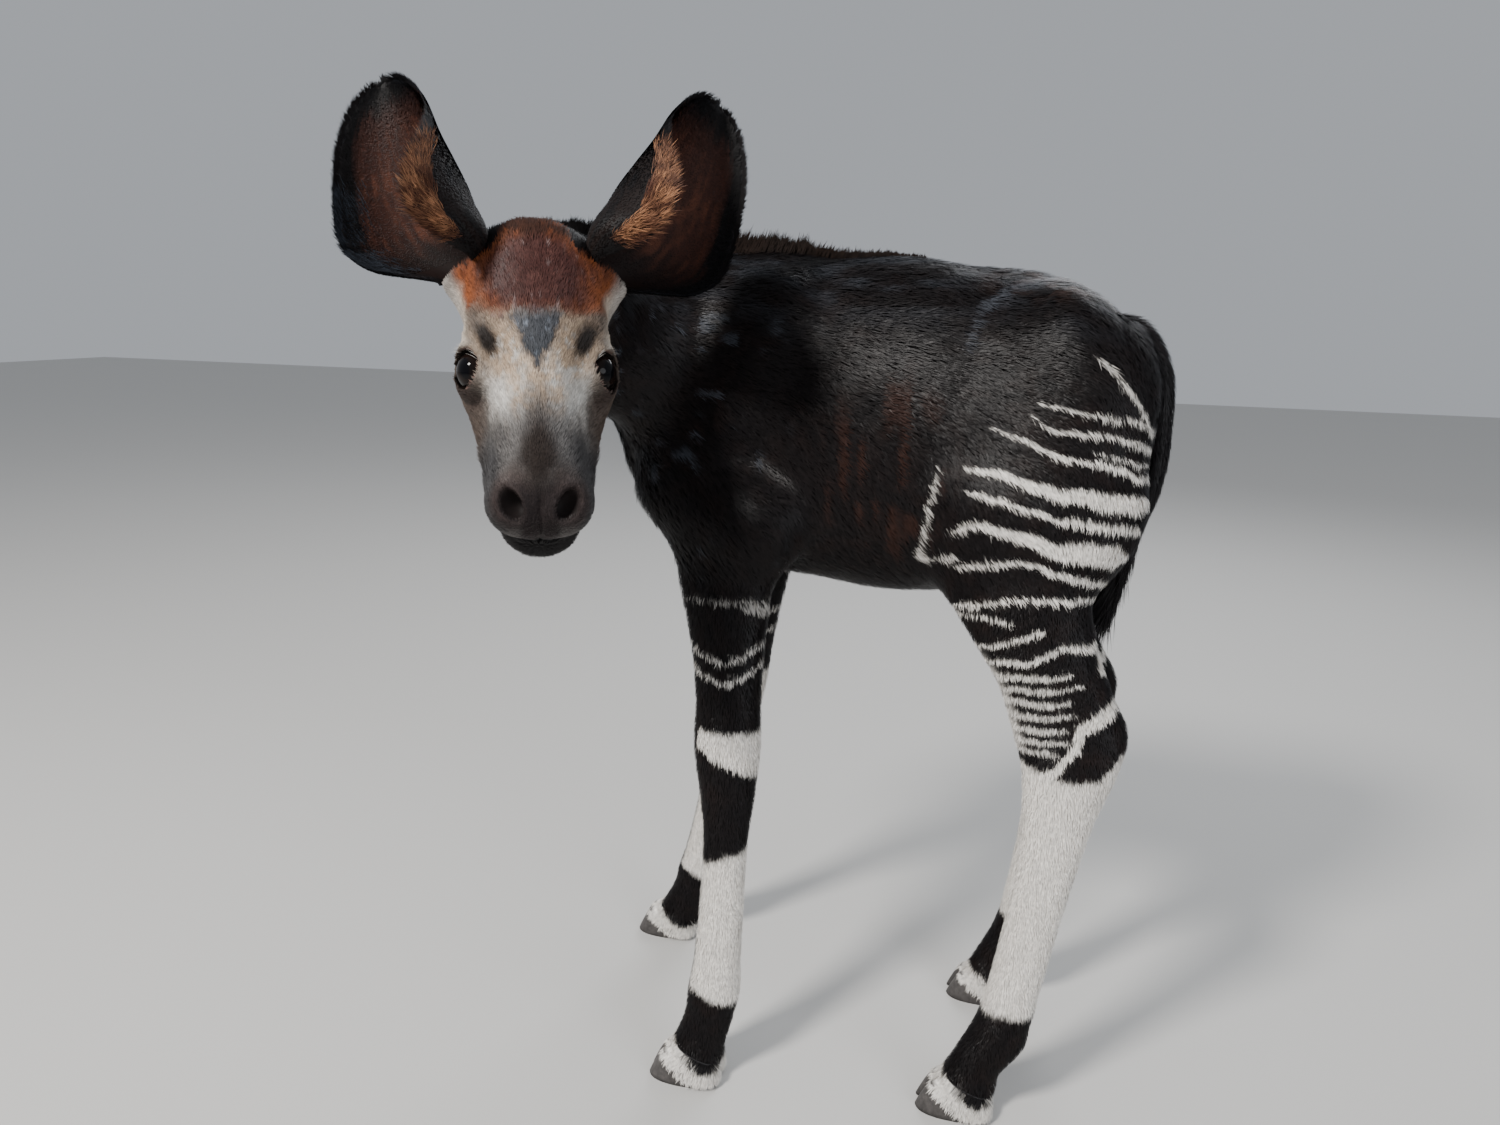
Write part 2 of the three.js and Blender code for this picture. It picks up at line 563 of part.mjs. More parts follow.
// Hooves: two claws under each leg, flat on the floor, under a coronet that falls towards the heel
const CLAW_OUTLINE = [ // forward and outward on the sole
  [32, -6], [29, 3], [20, 9], [5, 12], [-14, 12], [-27, 8], [-30, -4], [-22, -10.5], [6, -10.5], [25, -9.5],
];
const CLAW_RINGS = [ // height, slide back, size along and across
  [0, 0, 1, 1], [12, 6, 0.95, 0.98], [HOOF_HEIGHT + 4, 15, 0.82, 0.88],
];
const CORONET_FALL = 0.28;
const CLAW_APART = 11.6;
for (const [name, l] of Object.entries(LEGS)) {
  const foot = V3(through(l.sections, "z", "x", 20) + l.slide - 9, l.side * l.foot, 0);
  const coronet = V3(CORONET_FALL, 0, 1);
  const coronetAt = foot.clone().add(V3(11, 0, HOOF_HEIGHT));
  const kind = name.split("_")[0];
  let shaft = legSurface(l).intersect(legZone(kind, l.side, 0));
  shaft = shaft.intersect(beyond(coronetAt, coronet, GAP / 2));
  add("leg_" + name, shaft, matte(COLOURS.leg));
  for (const out of [-1, 1]) {
    const rings = CLAW_RINGS.map(([height, back, along, wide]) => CLAW_OUTLINE.map(([f, o]) => {
      const forward = f * along - back;
      const fall = (height / HOOF_HEIGHT) * CORONET_FALL * (forward + 11);
      return V3(foot.x - forward, foot.y + out * (CLAW_APART + o * wide), height + fall);
    }));
    const claw = loft(rings).subtract(beyond(coronetAt, coronet, -GAP / 2));
    add("hoof_" + name + (out * l.side > 0 ? "_outer" : "_inner"), claw, matte(COLOURS.horn, 0.5));
  }
}

// Tail: a bar that hangs down behind the buttocks and ends in a tuft
const TAIL = new THREE.CatmullRomCurve3([
  V3(92, 0, 724), V3(122, 0, 722), V3(144, 0, 690), V3(150, 0, 640),
  V3(148, 0, 592), V3(134, 0, 540), V3(122, 0, 490),
]);
const TAIL_RINGS = 9;
const TAIL_SIDES = 8;
const TAIL_RADIUS = 11;
const tailRings = [];
for (let i = 0; i <= TAIL_RINGS; i++) {
  const t = i / TAIL_RINGS;
  const centre = TAIL.getPoint(t);
  const along = TAIL.getTangent(t);
  const lift = V3().crossVectors(along, V3(0, 1, 0)).normalize();
  const radius = TAIL_RADIUS * (1.35 - 0.6 * t);
  tailRings.push(Array.from({ length: TAIL_SIDES }, (_, k) => {
    const angle = (k / TAIL_SIDES) * 2 * Math.PI;
    const across = V3(0, radius * Math.sin(angle), 0);
    return centre.clone().addScaledVector(lift, radius * Math.cos(angle)).add(across);
  }));
}
const TUFT_LOCKS = 12;
const tuft = [];
for (let i = 0; i < TUFT_LOCKS; i++) {
  const angle = i * 2.4;
  const t = 0.8 + 0.2 * (i / TUFT_LOCKS);
  const outward = V3(Math.cos(angle), Math.sin(angle), 0);
  const root = TAIL.getPoint(t).addScaledVector(outward, 3);
  const out = V3(-0.15, 0, -1).addScaledVector(outward, 0.3).normalize();
  const to = V3(-0.3, 0, -1).addScaledVector(outward, 0.12 + 0.1 * jitter()).normalize();
  tuft.push(lock(root, out, to, 62 + 8 * jitter(), 13));
}
let tail = wasm.Manifold.union([loft(tailRings), ...tuft]);
const TAIL_STEP = V3(0.8, 0, 0.6).multiplyScalar(2 * GAP);
const shifted = solidOf(geometryOf(torso), new THREE.Matrix4().setPosition(TAIL_STEP));
tail = tail.subtract(torso).subtract(shifted);
add("tail", tail, matte(COLOURS.coat));

// The origin is the middle of the bounding box at floor level
const box = new THREE.Box3().setFromObject(calf);
const centre = box.getCenter(V3());
calf.position.set(-centre.x, -centre.y, -box.min.z);

export default calf;
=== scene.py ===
"""A newborn okapi calf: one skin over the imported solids, with tufts of coat, mane, eyes, ears and hooves."""

import bpy
import numpy as np
from mathutils import Matrix, Vector


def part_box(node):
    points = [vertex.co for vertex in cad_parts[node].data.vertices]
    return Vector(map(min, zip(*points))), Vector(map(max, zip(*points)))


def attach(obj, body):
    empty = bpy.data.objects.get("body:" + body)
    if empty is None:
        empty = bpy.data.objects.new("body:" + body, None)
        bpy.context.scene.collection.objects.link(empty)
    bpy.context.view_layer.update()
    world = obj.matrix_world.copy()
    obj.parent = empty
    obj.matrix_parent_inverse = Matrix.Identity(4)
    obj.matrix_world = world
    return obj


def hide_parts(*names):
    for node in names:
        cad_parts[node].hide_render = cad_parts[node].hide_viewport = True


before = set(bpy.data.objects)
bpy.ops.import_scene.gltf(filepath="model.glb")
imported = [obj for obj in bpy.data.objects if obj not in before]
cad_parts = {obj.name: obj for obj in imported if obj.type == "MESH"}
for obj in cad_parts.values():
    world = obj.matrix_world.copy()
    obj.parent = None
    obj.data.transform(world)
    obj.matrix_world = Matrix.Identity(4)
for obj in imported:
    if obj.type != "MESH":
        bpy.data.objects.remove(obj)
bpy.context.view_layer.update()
rng = np.random.default_rng(11)


# Vectors and blends
AXIS_Y, AXIS_Z = np.array([0, 1.0, 0]), np.array([0, 0, 1.0])
FULL_TURN = 2 * np.pi


def norm(v):
    return np.linalg.norm(v, axis=-1)


def unit(v):
    return v / np.maximum(np.linalg.norm(v, axis=-1, keepdims=True), 1e-9)


def square_to(axis, v):
    """The unit part of v square to the axis."""
    return unit(v - axis * (v * axis).sum(-1, keepdims=True))


def stacked(*values):
    """The values side by side, one row for each point."""
    return np.stack(np.broadcast_arrays(*values), -1)


def smooth(x, a, b):
    t = np.clip((x - a) / (b - a), 0, 1)
    return t * t * (3 - 2 * t)


def hill(x, width):
    return np.exp(-((x / width) ** 2))


def soft(a, b, blend):
    """The smaller of two fields, rounded where they meet."""
    h = np.maximum(blend - np.abs(a - b), 0) / blend
    return np.minimum(a, b) - h * h * blend * 0.25


# The calf's own millimetres: the same named sizes as the solids
TRUNK = np.array([  # x, back, under, half width
    [-300, 706, 548, 58], [-250, 758, 512, 76], [-200, 785, 492, 87], [-140, 784, 484, 95],
    [-80, 787, 478, 99], [-20, 780, 484, 97], [40, 775, 512, 87], [80, 762, 548, 74],
    [104, 742, 580, 62]], float)
TRUNK_END = 36
FORE_LEG = np.array([  # z, x, half depth, half width
    [20, -234, 27, 20], [48, -224, 26, 19], [70, -218, 25, 20], [92, -215, 26.5, 21.5], [125, -213, 24, 19],
    [190, -211, 22.5, 17.5], [245, -210, 22.5, 18.5], [290, -210, 27, 22], [335, -212, 32.5, 25.5],
    [385, -213, 32, 25], [440, -216, 37, 27], [500, -221, 47, 30], [560, -224, 52, 32]], float)
HIND_LEG = np.array([
    [20, 25, 28, 20], [48, 38, 27, 19], [72, 52, 29, 21], [95, 59, 26, 21], [130, 66, 25, 19],
    [190, 76, 25.5, 18], [250, 85, 28, 19], [300, 91, 33, 22], [345, 96, 43, 26], [385, 92, 53, 24],
    [420, 77, 52, 25], [460, 56, 57, 30], [505, 40, 68, 35], [580, 45, 84, 38]], float)
LEG_TOP_Z = 520
LEGS = {  # sections, side, slide of the foot, distance from the middle at foot and top
    "fore_left": (FORE_LEG, -1, 0, 116, 75),
    "fore_right": (FORE_LEG, 1, -88, 122, 75),
    "hind_left": (HIND_LEG, -1, 0, 98, 66),
    "hind_right": (HIND_LEG, 1, 22, 86, 66),
}
SOLE_FORWARD = 9
MUSCLES = [  # from, to, radii, flatness
    ((-205, 52, 722), (-258, 70, 592), 42, 42, 0.7),
    ((-262, 70, 580), (-205, 78, 548), 38, 40, 0.75),
    ((60, 46, 690), (18, 64, 590), 62, 60, 0.68),
    ((76, 46, 660), (80, 56, 570), 56, 54, 0.68),
]
NECK = [((-205, 0, 672), 88, 0.62), ((-262, -18, 690), 80, 0.62), ((-315, -72, 710), 66, 0.66),
        ((-346, -132, 728), 55, 0.72), ((-352, -192, 738), 46, 0.8)]
HEAD_BARS = [
    ((-10, 2, 0), (84, -4, 0), 47, 33, 1.0),
    ((8, 30, 0), (100, 12, 0), 20, 14, 1.2),
    ((-40, -36, 30), (84, -38, 13), 22, 13, 0.8),
    ((-20, 26, 38), (24, 21, 41), 12, 9, 1),
    ((8, -10, 47), (88, -16, 24), 11, 11, 1),
    ((-54, -4, 28), (-90, 14, 60), 26, 22, 1),
]
HEAD_BALLS = [
    ((-56, 6, 0), (58, 46, 50)), ((-46, 21, 0), (60, 34, 50)), ((-18, -28, 37), (46, 36, 15)),
    ((8, 6, 42), (26, 22, 17)), ((104, -8, 0), (33, 25, 36)), ((116, -3, 19), (18, 15, 17)),
    ((109, -38, 0), (28, 20, 30)),
]
MUSCLE_BLEND, NECK_BLEND, LIMB_BLEND, HEAD_BLEND, LID_BLEND = 34, 40, 30, 14, 4
EYE_AT = np.array([12, 9, 41.5])
EYE_LOOKS = unit(np.array([0.3, 0.73, 0.61]))
EYE_LONG = square_to(EYE_LOOKS, np.array([1.0, -0.12, 0]))
EYE_HIGH = np.cross(EYE_LOOKS, EYE_LONG)
EYE_AXES = np.array([EYE_LONG, EYE_HIGH, EYE_LOOKS])
EYE_RADIUS = 16.5
LID_RADIUS = EYE_RADIUS + 3
LID_OPENING = (12.2, 12.0, 16)
EAR_FOOT = np.array([-78, 9, 53.0])
EAR_OPENS = np.array([0.56, 0.71, 0.42])
EARS = {"left": ((-0.74, 0.46, 0.55), 163), "right": ((-0.8, 0.5, 0.36), 148)}
EAR_RINGS = np.array([  # along, half width, turn in degrees to the outer and the inner edge, outward bow
    [0, 20, 88, 120, 0], [0.06, 31, 88, 130, 0], [0.13, 42, 86, 136, 2], [0.22, 48, 82, 140, 4],
    [0.34, 50, 76, 136, 6], [0.48, 47, 70, 122, 7], [0.62, 42, 64, 92, 7], [0.75, 37, 58, 66, 5],
    [0.86, 30, 52, 52, 2], [0.93, 22, 46, 46, 1], [0.98, 12, 42, 42, 0], [1, 4, 40, 40, 0]])
EAR_WIDTH = 56 / 50
EAR_SET = 9
SEAT_RADIUS, SEAT_FORWARD = 34, 13
TAIL = np.array([(92, 0, 724), (122, 0, 722), (144, 0, 690), (150, 0, 640), (148, 0, 592), (134, 0, 540),
                 (122, 0, 490)], float)
TAIL_RADIUS = 11
HOOF_HEIGHT = 25
CORONET_FALL = 0.28
CORONET_MIDDLE = 11
MANE = np.array([(-349, -178, 0), (-346, -132, 0), (-315, -72, 0), (-262, -18, 0), (-205, 0, 0), (-130, 0, 0),
                 (-62, 0, 0)], float)

# The head's frame: u down the face, v out of the forehead, w to the calf's right
TILT = np.radians(38)
HEAD_AT = np.array([-328, -245, 690.0])
FACING = unit(np.array([0.395, -0.919, 0]))
HEAD_U = FACING * np.sin(TILT) - AXIS_Z * np.cos(TILT)
HEAD_V = FACING * np.cos(TILT) + AXIS_Z * np.sin(TILT)
HEAD = np.array([HEAD_U, HEAD_V, np.cross(HEAD_U, HEAD_V)])


def to_head(p):
    return (p - HEAD_AT) @ HEAD.T


def from_head(q):
    return HEAD_AT + q @ HEAD


def mirrored(q):
    """Head places with both sides laid on the right one."""
    return stacked(q[:, 0], q[:, 1], np.abs(q[:, 2]))


# From the calf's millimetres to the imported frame's metres
eye_box = np.array(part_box("eye_left"), float)
SHIFT = eye_box.mean(axis=0) * 1000 - from_head(EYE_AT * [1, 1, -1])


def place(p):
    return (p + SHIFT) / 1000


# Field of the body: negative inside
FAR = 1e3


def through(table, column, at):
    """A smooth curve through a table's column, over its first column."""
    keys, values = table[:, 0], table[:, column]
    last = len(keys) - 1
    at = np.clip(at, keys[0], keys[-1])
    i = np.clip(np.searchsorted(keys, at, side="right") - 1, 0, last - 1)
    low, high = np.maximum(np.arange(last + 1) - 1, 0), np.minimum(np.arange(last + 1) + 1, last)
    slope = (values[high] - values[low]) / (keys[high] - keys[low])
    step = keys[i + 1] - keys[i]
    t = (at - keys[i]) / step
    rise = values[i + 1] - values[i]
    bend = (1 - t) * (slope[i] * step - rise) - t * (slope[i + 1] * step - rise)
    return values[i] + rise * t + t * (1 - t) * bend


def bar(p, a, b, ra, rb, flat, side):
    """A round bar from a to b, its width along side multiplied by flat."""
    a, b = np.asarray(a, float), np.asarray(b, float)
    along = b - a
    t = np.clip(((p - a) @ along) / (along @ along), 0, 1)
    d = p - a - t[:, None] * along
    across = d @ side
    rest = np.einsum("ij,ij->i", d, d) - across**2
    return np.sqrt(np.maximum(rest, 0) + (across / flat) ** 2) - (ra + (rb - ra) * t)


def ball(p, at, radii):
    d = (p - np.asarray(at, float)) / radii
    q = norm(d)
    grad = norm(d / radii)
    return np.where(grad < 1e-9, -min(radii), q * (q - 1) / np.maximum(grad, 1e-9))


def oval(dx, dy, rx, ry, past, round_):
    """An oval section, rounded off by round_ where past is beyond its ends."""
    across = (np.hypot(dx / rx, dy / ry) - 1) * np.minimum(rx, ry)
    return np.where(past > 0, np.hypot(np.maximum(across + round_, 0), past) - round_, across)


def trunk_field(p):
    x, y, z = p.T
    back, under, half = (through(TRUNK, k, x) for k in (1, 2, 3))
    past = np.maximum(TRUNK[0, 0] - x, x - TRUNK[-1, 0])
    d = oval(y, z - (back + under) / 2, half, (back - under) / 2, past, TRUNK_END)
    for muscle in MUSCLES:
        d = soft(d, bar(stacked(x, np.abs(y), z), *muscle, AXIS_Y), MUSCLE_BLEND)
    return d


def leg_axis(name, z):
    table, side, slide, foot, top = LEGS[name]
    down = np.clip(1 - z / LEG_TOP_Z, 0, 1)
    return through(table, 1, z) + slide * down, side * (top + (foot - top) * down)


def leg_field(p, name):
    table = LEGS[name][0]
    x, y = leg_axis(name, p[:, 2])
    depth, width = through(table, 2, p[:, 2]), through(table, 3, p[:, 2])
    past = np.maximum(table[0, 0] - p[:, 2], p[:, 2] - table[-1, 0])
    return oval(p[:, 0] - x, p[:, 1] - y, depth, width, past, width)


def neck_field(p):
    d = np.full(len(p), FAR)
    for (a, ra, fa), (b, rb, fb) in zip(NECK, NECK[1:]):
        side = unit(np.array([a[1] - b[1], b[0] - a[0], 0.0]))
        d = soft(d, bar(p, a, b, ra, rb, (fa + fb) / 2, side), NECK_BLEND)
    return d


def head_field(q):
    q = mirrored(q)
    d = np.full(len(q), FAR)
    for head_bar in HEAD_BARS:
        d = soft(d, bar(q, *head_bar, AXIS_Z), HEAD_BLEND)
    for at, radii in HEAD_BALLS:
        d = soft(d, ball(q, at, radii), HEAD_BLEND)
    return soft(d, norm(q - EYE_AT) - LID_RADIUS, LID_BLEND)


def parts(p):
    """Fields of the trunk, the four legs, the neck and the head, one column each."""
    d = np.full((len(p), 7), FAR)
    d[:, 0] = trunk_field(p)
    for k, name in enumerate(LEGS):
        near = (p[:, 2] < 640) & (p[:, 1] * LEGS[name][1] > -20)
        if near.any():
            d[near, 1 + k] = leg_field(p[near], name)
    near = p[:, 0] < 0
    if near.any():
        d[near, 5] = neck_field(p[near])
    near = norm(p - HEAD_AT) < 230
    if near.any():
        d[near, 6] = head_field(to_head(p[near]))
    return d


def joined(d):
    out = d[:, 0]
    for column, blend in zip(d.T[1:], [LIMB_BLEND] * 4 + [NECK_BLEND, LIMB_BLEND]):
        out = soft(out, column, blend)
    return out


# Nostrils, lips, lids and ear seats on the head's surface
NOSTRIL = np.array([104, -4, 17.0])
NOSTRIL_OUT = unit(np.array([0.75, 0.65, 0.1]))
while head_field(NOSTRIL[None])[0] < -1:
    NOSTRIL = NOSTRIL + NOSTRIL_OUT * 0.5
NOSTRIL_RADII = (10.5, 6, 9)
DIAGONAL = 0.707
MOUTH_V, MOUTH_FROM = -25, 62


def nostril_reach(q):
    """1 on the rim of the slit, which runs up and outward."""
    u, v, w = (q - (NOSTRIL - NOSTRIL_OUT * 1.5)).T
    return norm(stacked((v + w) * DIAGONAL, (v - w) * DIAGONAL, u) / NOSTRIL_RADII)


def foot_of(name):
    """Middle of the sole."""
    table, side, slide, out, _ = LEGS[name]
    return np.array([table[0, 1] + slide - SOLE_FORWARD, side * out, 0])


def ear_frame(side):
    """The ear's axis, the way it opens, the way across, and its length."""
    axis, length = EARS[side]
    axis = unit(np.array(axis))
    opens = square_to(axis, EAR_OPENS)
    return axis, opens, np.cross(axis, opens), length


def ear_seat(q):
    """The cup's floor, where the ear stands on the head: negative in what is taken away."""
    axis, opens, across, _ = ear_frame("left")
    d = q - (EAR_FOOT + SEAT_FORWARD * opens - EAR_SET * across)
    up = d @ axis
    return np.maximum(norm(d - up[:, None] * axis) - SEAT_RADIUS, 3 - up)


def coat_depth(p):
    """How far the skin lies under the coat's tips."""
    on_body = np.clip((norm(to_head(p) * [0.8, 1, 1]) - 110) / 60, 0, 1)
    high = np.clip((p[:, 2] - 380) / 120, 0, 1)
    return 1.1 + on_body * (0.6 + 1.3 * high)


def lid_cut(q):
    """The almond opening between the lids, negative inside it."""
    d = q - (EYE_AT + EYE_LOOKS * 17)
    return (norm(d @ EYE_AXES.T / LID_OPENING) - 1) * 12.5


def work_head(h, q, depth):
    """The head's field h with folds, hollows, lips, nostrils, eyes and ear seats."""
    u, v, w = q.T
    from_eye, reach = norm(q - EYE_AT), nostril_reach(q)
    folds = 0.9 * hill(from_eye - 25, 2.2) * (np.abs(u - 8) < 40)
    hollow = 2.2 * hill(u + 16, 9) * hill(w - 36, 9) * (v > 10)
    seam = MOUTH_V + 0.12 * w - 0.00035 * (u - 120) ** 2
    mouth = 4.0 * hill(v - seam, 1.6) * np.clip((u - MOUTH_FROM) / 10, 0, 1)
    rim = 1.5 * hill(reach - 1.55, 0.4)
    philtrum = 1.5 * hill(w, 2.2) * np.clip((u - 112) / 8, 0, 1) * (v > MOUTH_V)
    h = h + folds + hollow + mouth - rim + philtrum
    socket = from_eye - (EYE_RADIUS + 0.4) - depth
    for cut, blend in (((reach - 1) * 6.5, 3), (socket, 0.6), (lid_cut(q) - depth, 1.8), (ear_seat(q), 8)):
        h = -soft(-h, cut, blend)
    return h


def skin_field(p):
    d, depth = joined(parts(p)), coat_depth(p)
    near = norm(p - HEAD_AT) < 200
    if near.any():
        d[near] = work_head(d[near], mirrored(to_head(p[near])), depth[near])
    d = d + depth
    low = p[:, 2] < 60
    if low.any():
        for name in LEGS:
            foot = foot_of(name)
            mine = np.flatnonzero(low & (np.hypot(p[:, 0] - foot[0], p[:, 1] - foot[1]) < 70))
            coronet = HOOF_HEIGHT - CORONET_FALL * (p[mine, 0] - foot[0] - CORONET_MIDDLE)
            d[mine] = np.maximum(d[mine], coronet - 4 - p[mine, 2])
    return d


# Skin: surface nets on a graded grid, fine over the head
def grid_line(*runs):
    """Grid lines from runs of (start, end, step)."""
    out = [np.array([runs[0][0]], float)]
    for start, end, step in runs:
        count = max(int(round((end - start) / step)), 1)
        out.append(start + (end - start) * np.arange(1, count + 1) / count)
    return np.concatenate(out)


def lattice(lines):
    return np.stack(np.meshgrid(*lines, indexing="ij"), -1).reshape(-1, 3)


def sampled(axes, field, block):
    """The field on the grid, worked out finely only in blocks near the surface."""
    sizes = [len(a) for a in axes]
    starts = [np.arange(0, n, block) for n in sizes]
    ends = [np.minimum(s + block, n - 1) for s, n in zip(starts, sizes)]
    centre = lattice([(a[s] + a[e]) / 2 for a, s, e in zip(axes, starts, ends)])
    half = norm(lattice([(a[e] - a[s]) / 2 for a, s, e in zip(axes, starts, ends)]))
    rough = joined(parts(centre))
    shape = [len(s) for s in starts]
    grid = rough.reshape(shape).astype(np.float32)
    for k in range(3):
        grid = np.repeat(grid, block, axis=k)
    grid = np.ascontiguousarray(grid[: sizes[0], : sizes[1], : sizes[2]])
    for at in np.argwhere((np.abs(rough) < half * 1.25 + 12).reshape(shape)):
        span = tuple(slice(s[n], min(s[n] + block + 1, m)) for s, n, m in zip(starts, at, sizes))
        line = [a[s] for a, s in zip(axes, span)]
        grid[span] = field(lattice(line)).reshape([len(x) for x in line])
    return grid


def net(axes, field, block=8):
    """Points and outward quads of the surface where the field is 0."""
    grid = sampled(axes, field, block)
    sizes, inside = grid.shape, grid < 0
    corners = [(a, b, c) for a in (0, 1) for b in (0, 1) for c in (0, 1)]
    cut = [slice(0, -1), slice(1, None)]
    count = sum(inside[cut[a], cut[b], cut[c]].astype(np.int8) for a, b, c in corners)
    cells = np.argwhere((count > 0) & (count < 8))
    point_of = np.full([n - 1 for n in sizes], -1, np.int32)
    point_of[tuple(cells.T)] = np.arange(len(cells))
    total, weight = np.zeros((len(cells), 3)), np.zeros(len(cells))
    for corner in corners:
        for k in (k for k in range(3) if not corner[k]):
            a = cells + corner
            b = a + np.eye(3, dtype=int)[k]
            fa, fb = grid[tuple(a.T)], grid[tuple(b.T)]
            cross = (fa < 0) != (fb < 0)
            t = (fa / np.where(cross, fa - fb, 1))[:, None]
            pa, pb = (stacked(*(axes[n][idx[:, n]] for n in range(3))) for idx in (a, b))
            total += np.where(cross[:, None], pa * (1 - t) + pb * t, 0)
            weight += cross
    quads = []
    for k in range(3):
        u, v = (k + 1) % 3, (k + 2) % 3
        low, high = ([slice(0, n) for n in sizes] for _ in range(2))
        low[k], high[k] = cut
        flip = np.argwhere(inside[tuple(low)] != inside[tuple(high)])
        cross = flip[:, [u, v]]
        flip = flip[((cross > 0) & (cross < [sizes[u] - 1, sizes[v] - 1])).all(1)]
        ring = []
        for du, dv in ((-1, -1), (0, -1), (0, 0), (-1, 0)):
            c = flip.copy()
            c[:, u] += du
            c[:, v] += dv
            ring.append(point_of[tuple(c.T)])
        quad = stacked(*ring)
        quads.append(np.where(inside[tuple(flip.T)][:, None], quad, quad[:, ::-1]))
    return total / weight[:, None], np.concatenate(quads)


def gradient(p, field, step=0.5):
    ways = np.eye(3) * step
    return stacked(*((field(p + e) - field(p - e)) / (2 * step) for e in ways))


def settle(p, field, rounds=2):
    """Moves points onto the surface by short Newton steps."""
    for _ in range(rounds):
        g = gradient(p, field)
        move = -(field(p) / np.maximum((g**2).sum(1), 0.35))[:, None] * g
        p = p + move * np.minimum(1, 1.2 / np.maximum(norm(move), 1e-9))[:, None]
    return p


head_step, body_step = ((1.95, 6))
grid_axes = [
    grid_line((-420, -262, head_step), (-262, 312, body_step)),
    grid_line((-345, -150, head_step), (-150, 156, body_step)),
    grid_line((18, 555, body_step), (555, 806, head_step)),
]
skin_points, skin_quads = net(grid_axes, skin_field)
skin_points = settle(skin_points, skin_field)
skin_normals = unit(gradient(skin_points, skin_field))


# Markings: colour of the coat at a point, in linear light
BLACK = (0.0065, 0.0055, 0.006)
DARK = (0.024, 0.012, 0.009)
CHESTNUT = (0.235, 0.070, 0.026)
MAROON = (0.055, 0.020, 0.017)
CREAM = (0.66, 0.58, 0.48)
WHITE = (0.80, 0.765, 0.715)
SILVER = (0.50, 0.48, 0.45)
GREY = (0.25, 0.225, 0.20)
TAN = (0.50, 0.34, 0.21)
LID = (0.20, 0.12, 0.10)
EYE_RIM_AND_SHADOW_BROWN = (0.050, 0.034, 0.029)


def noise(p, size, seed=0):
    """Smooth value noise from 0 to 1."""
    q = p / size + seed * 17.13
    i = np.floor(q).astype(np.int64)
    f = q - i
    f = f * f * (3 - 2 * f)
    total = np.zeros(len(p))
    for corner in np.ndindex(2, 2, 2):
        x, y, z = (i + corner).T
        h = (x * 73856093) ^ (y * 19349663) ^ (z * 83492791)
        h = (h ^ (h >> 13)) * 1274126177
        value = ((h ^ (h >> 16)) & 0xFFFF) / 65535.0
        total += value * np.where(corner, f, 1 - f).prod(1)
    return total


def plain(colour, count):
    return np.tile(np.array(colour), (count, 1))


def over(base, colour, amount):
    a = np.clip(amount, 0, 1)[:, None]
    return np.asarray(base) * (1 - a) + np.array(colour) * a


def layered(base, *layers):
    """Each layer's colour laid over the base by its amount."""
    for colour, amount in layers:
        base = over(base, colour, amount)
    return base


def spot(q, at, size, edge=0.35):
    """1 inside an oval, 0 outside, soft by edge."""
    return 1 - smooth(norm((q - np.array(at)) / np.array(size)), 1 - edge, 1 + edge)


STRIPES = [  # x and z along the stripe, half width at its start and end, strength
    ([(-36, 612), (-43, 560), (-48, 530)], 1.4, 2.0, 0.6),
    ([(80, 708), (100, 692), (122, 668), (136, 642)], 1.2, 2.2, 0.75),
    ([(41, 668), (72, 662), (118, 655), (140, 646)], 0.9, 2.0, 0.9),
    ([(35, 657), (56, 646), (96, 645), (144, 628)], 1.1, 2.6, 0.95),
    ([(84, 631), (146, 614)], 0.9, 1.4, 0.8),
    ([(2, 645), (27, 639), (65, 625), (98, 619), (142, 603)], 1.3, 3.2, 1),
    ([(-14, 613), (30, 605), (68, 595), (110, 588), (137, 585)], 2.0, 8.0, 1),
    ([(-12, 594), (31, 585), (72, 573), (118, 567), (132, 564)], 1.7, 3.6, 1),
    ([(-26, 555), (-1, 567), (33, 561), (58, 551), (100, 546), (122, 543)], 1.8, 10.0, 1),
    ([(-52, 530), (-14, 536)], 1.4, 2.0, 0.8),
    ([(-16, 527), (35, 537), (74, 528), (104, 519), (120, 512)], 2.0, 3.2, 0.95),
    ([(-20, 488), (23, 500), (63, 505), (99, 503), (132, 494)], 1.8, 3.0, 1),
    ([(-14, 484), (12, 486), (38, 480)], 1.6, 1.6, 0.85),
    ([(-4, 450), (30, 461), (62, 478)], 1.7, 2.2, 0.9),
    ([(14, 442), (55, 447), (80, 463), (112, 461)], 2.0, 3.0, 0.95),
    ([(2, 434), (30, 430), (58, 433), (90, 438)], 4.2, 1.6, 0.8),
    ([(6, 423), (28, 418), (60, 421), (100, 428)], 3.8, 1.4, 0.72),
    ([(8, 412), (34, 408), (62, 409), (92, 413)], 4.2, 1.5, 0.8),
    ([(14, 401), (40, 396), (66, 398), (96, 403)], 3.8, 1.4, 0.72),
    ([(20, 390), (44, 386), (70, 386), (90, 389)], 4.1, 1.5, 0.78),
    ([(28, 379), (54, 375), (92, 379)], 3.7, 1.3, 0.7),
    ([(36, 368), (56, 366), (84, 367)], 3.5, 1.3, 0.68),
    ([(112, 460), (119, 437)], 6.0, 6.5, 0.95),
    ([(140, 424), (124, 407), (101, 391), (98, 373), (85, 356), (70, 343)], 6.0, 2.8, 0.97),
]
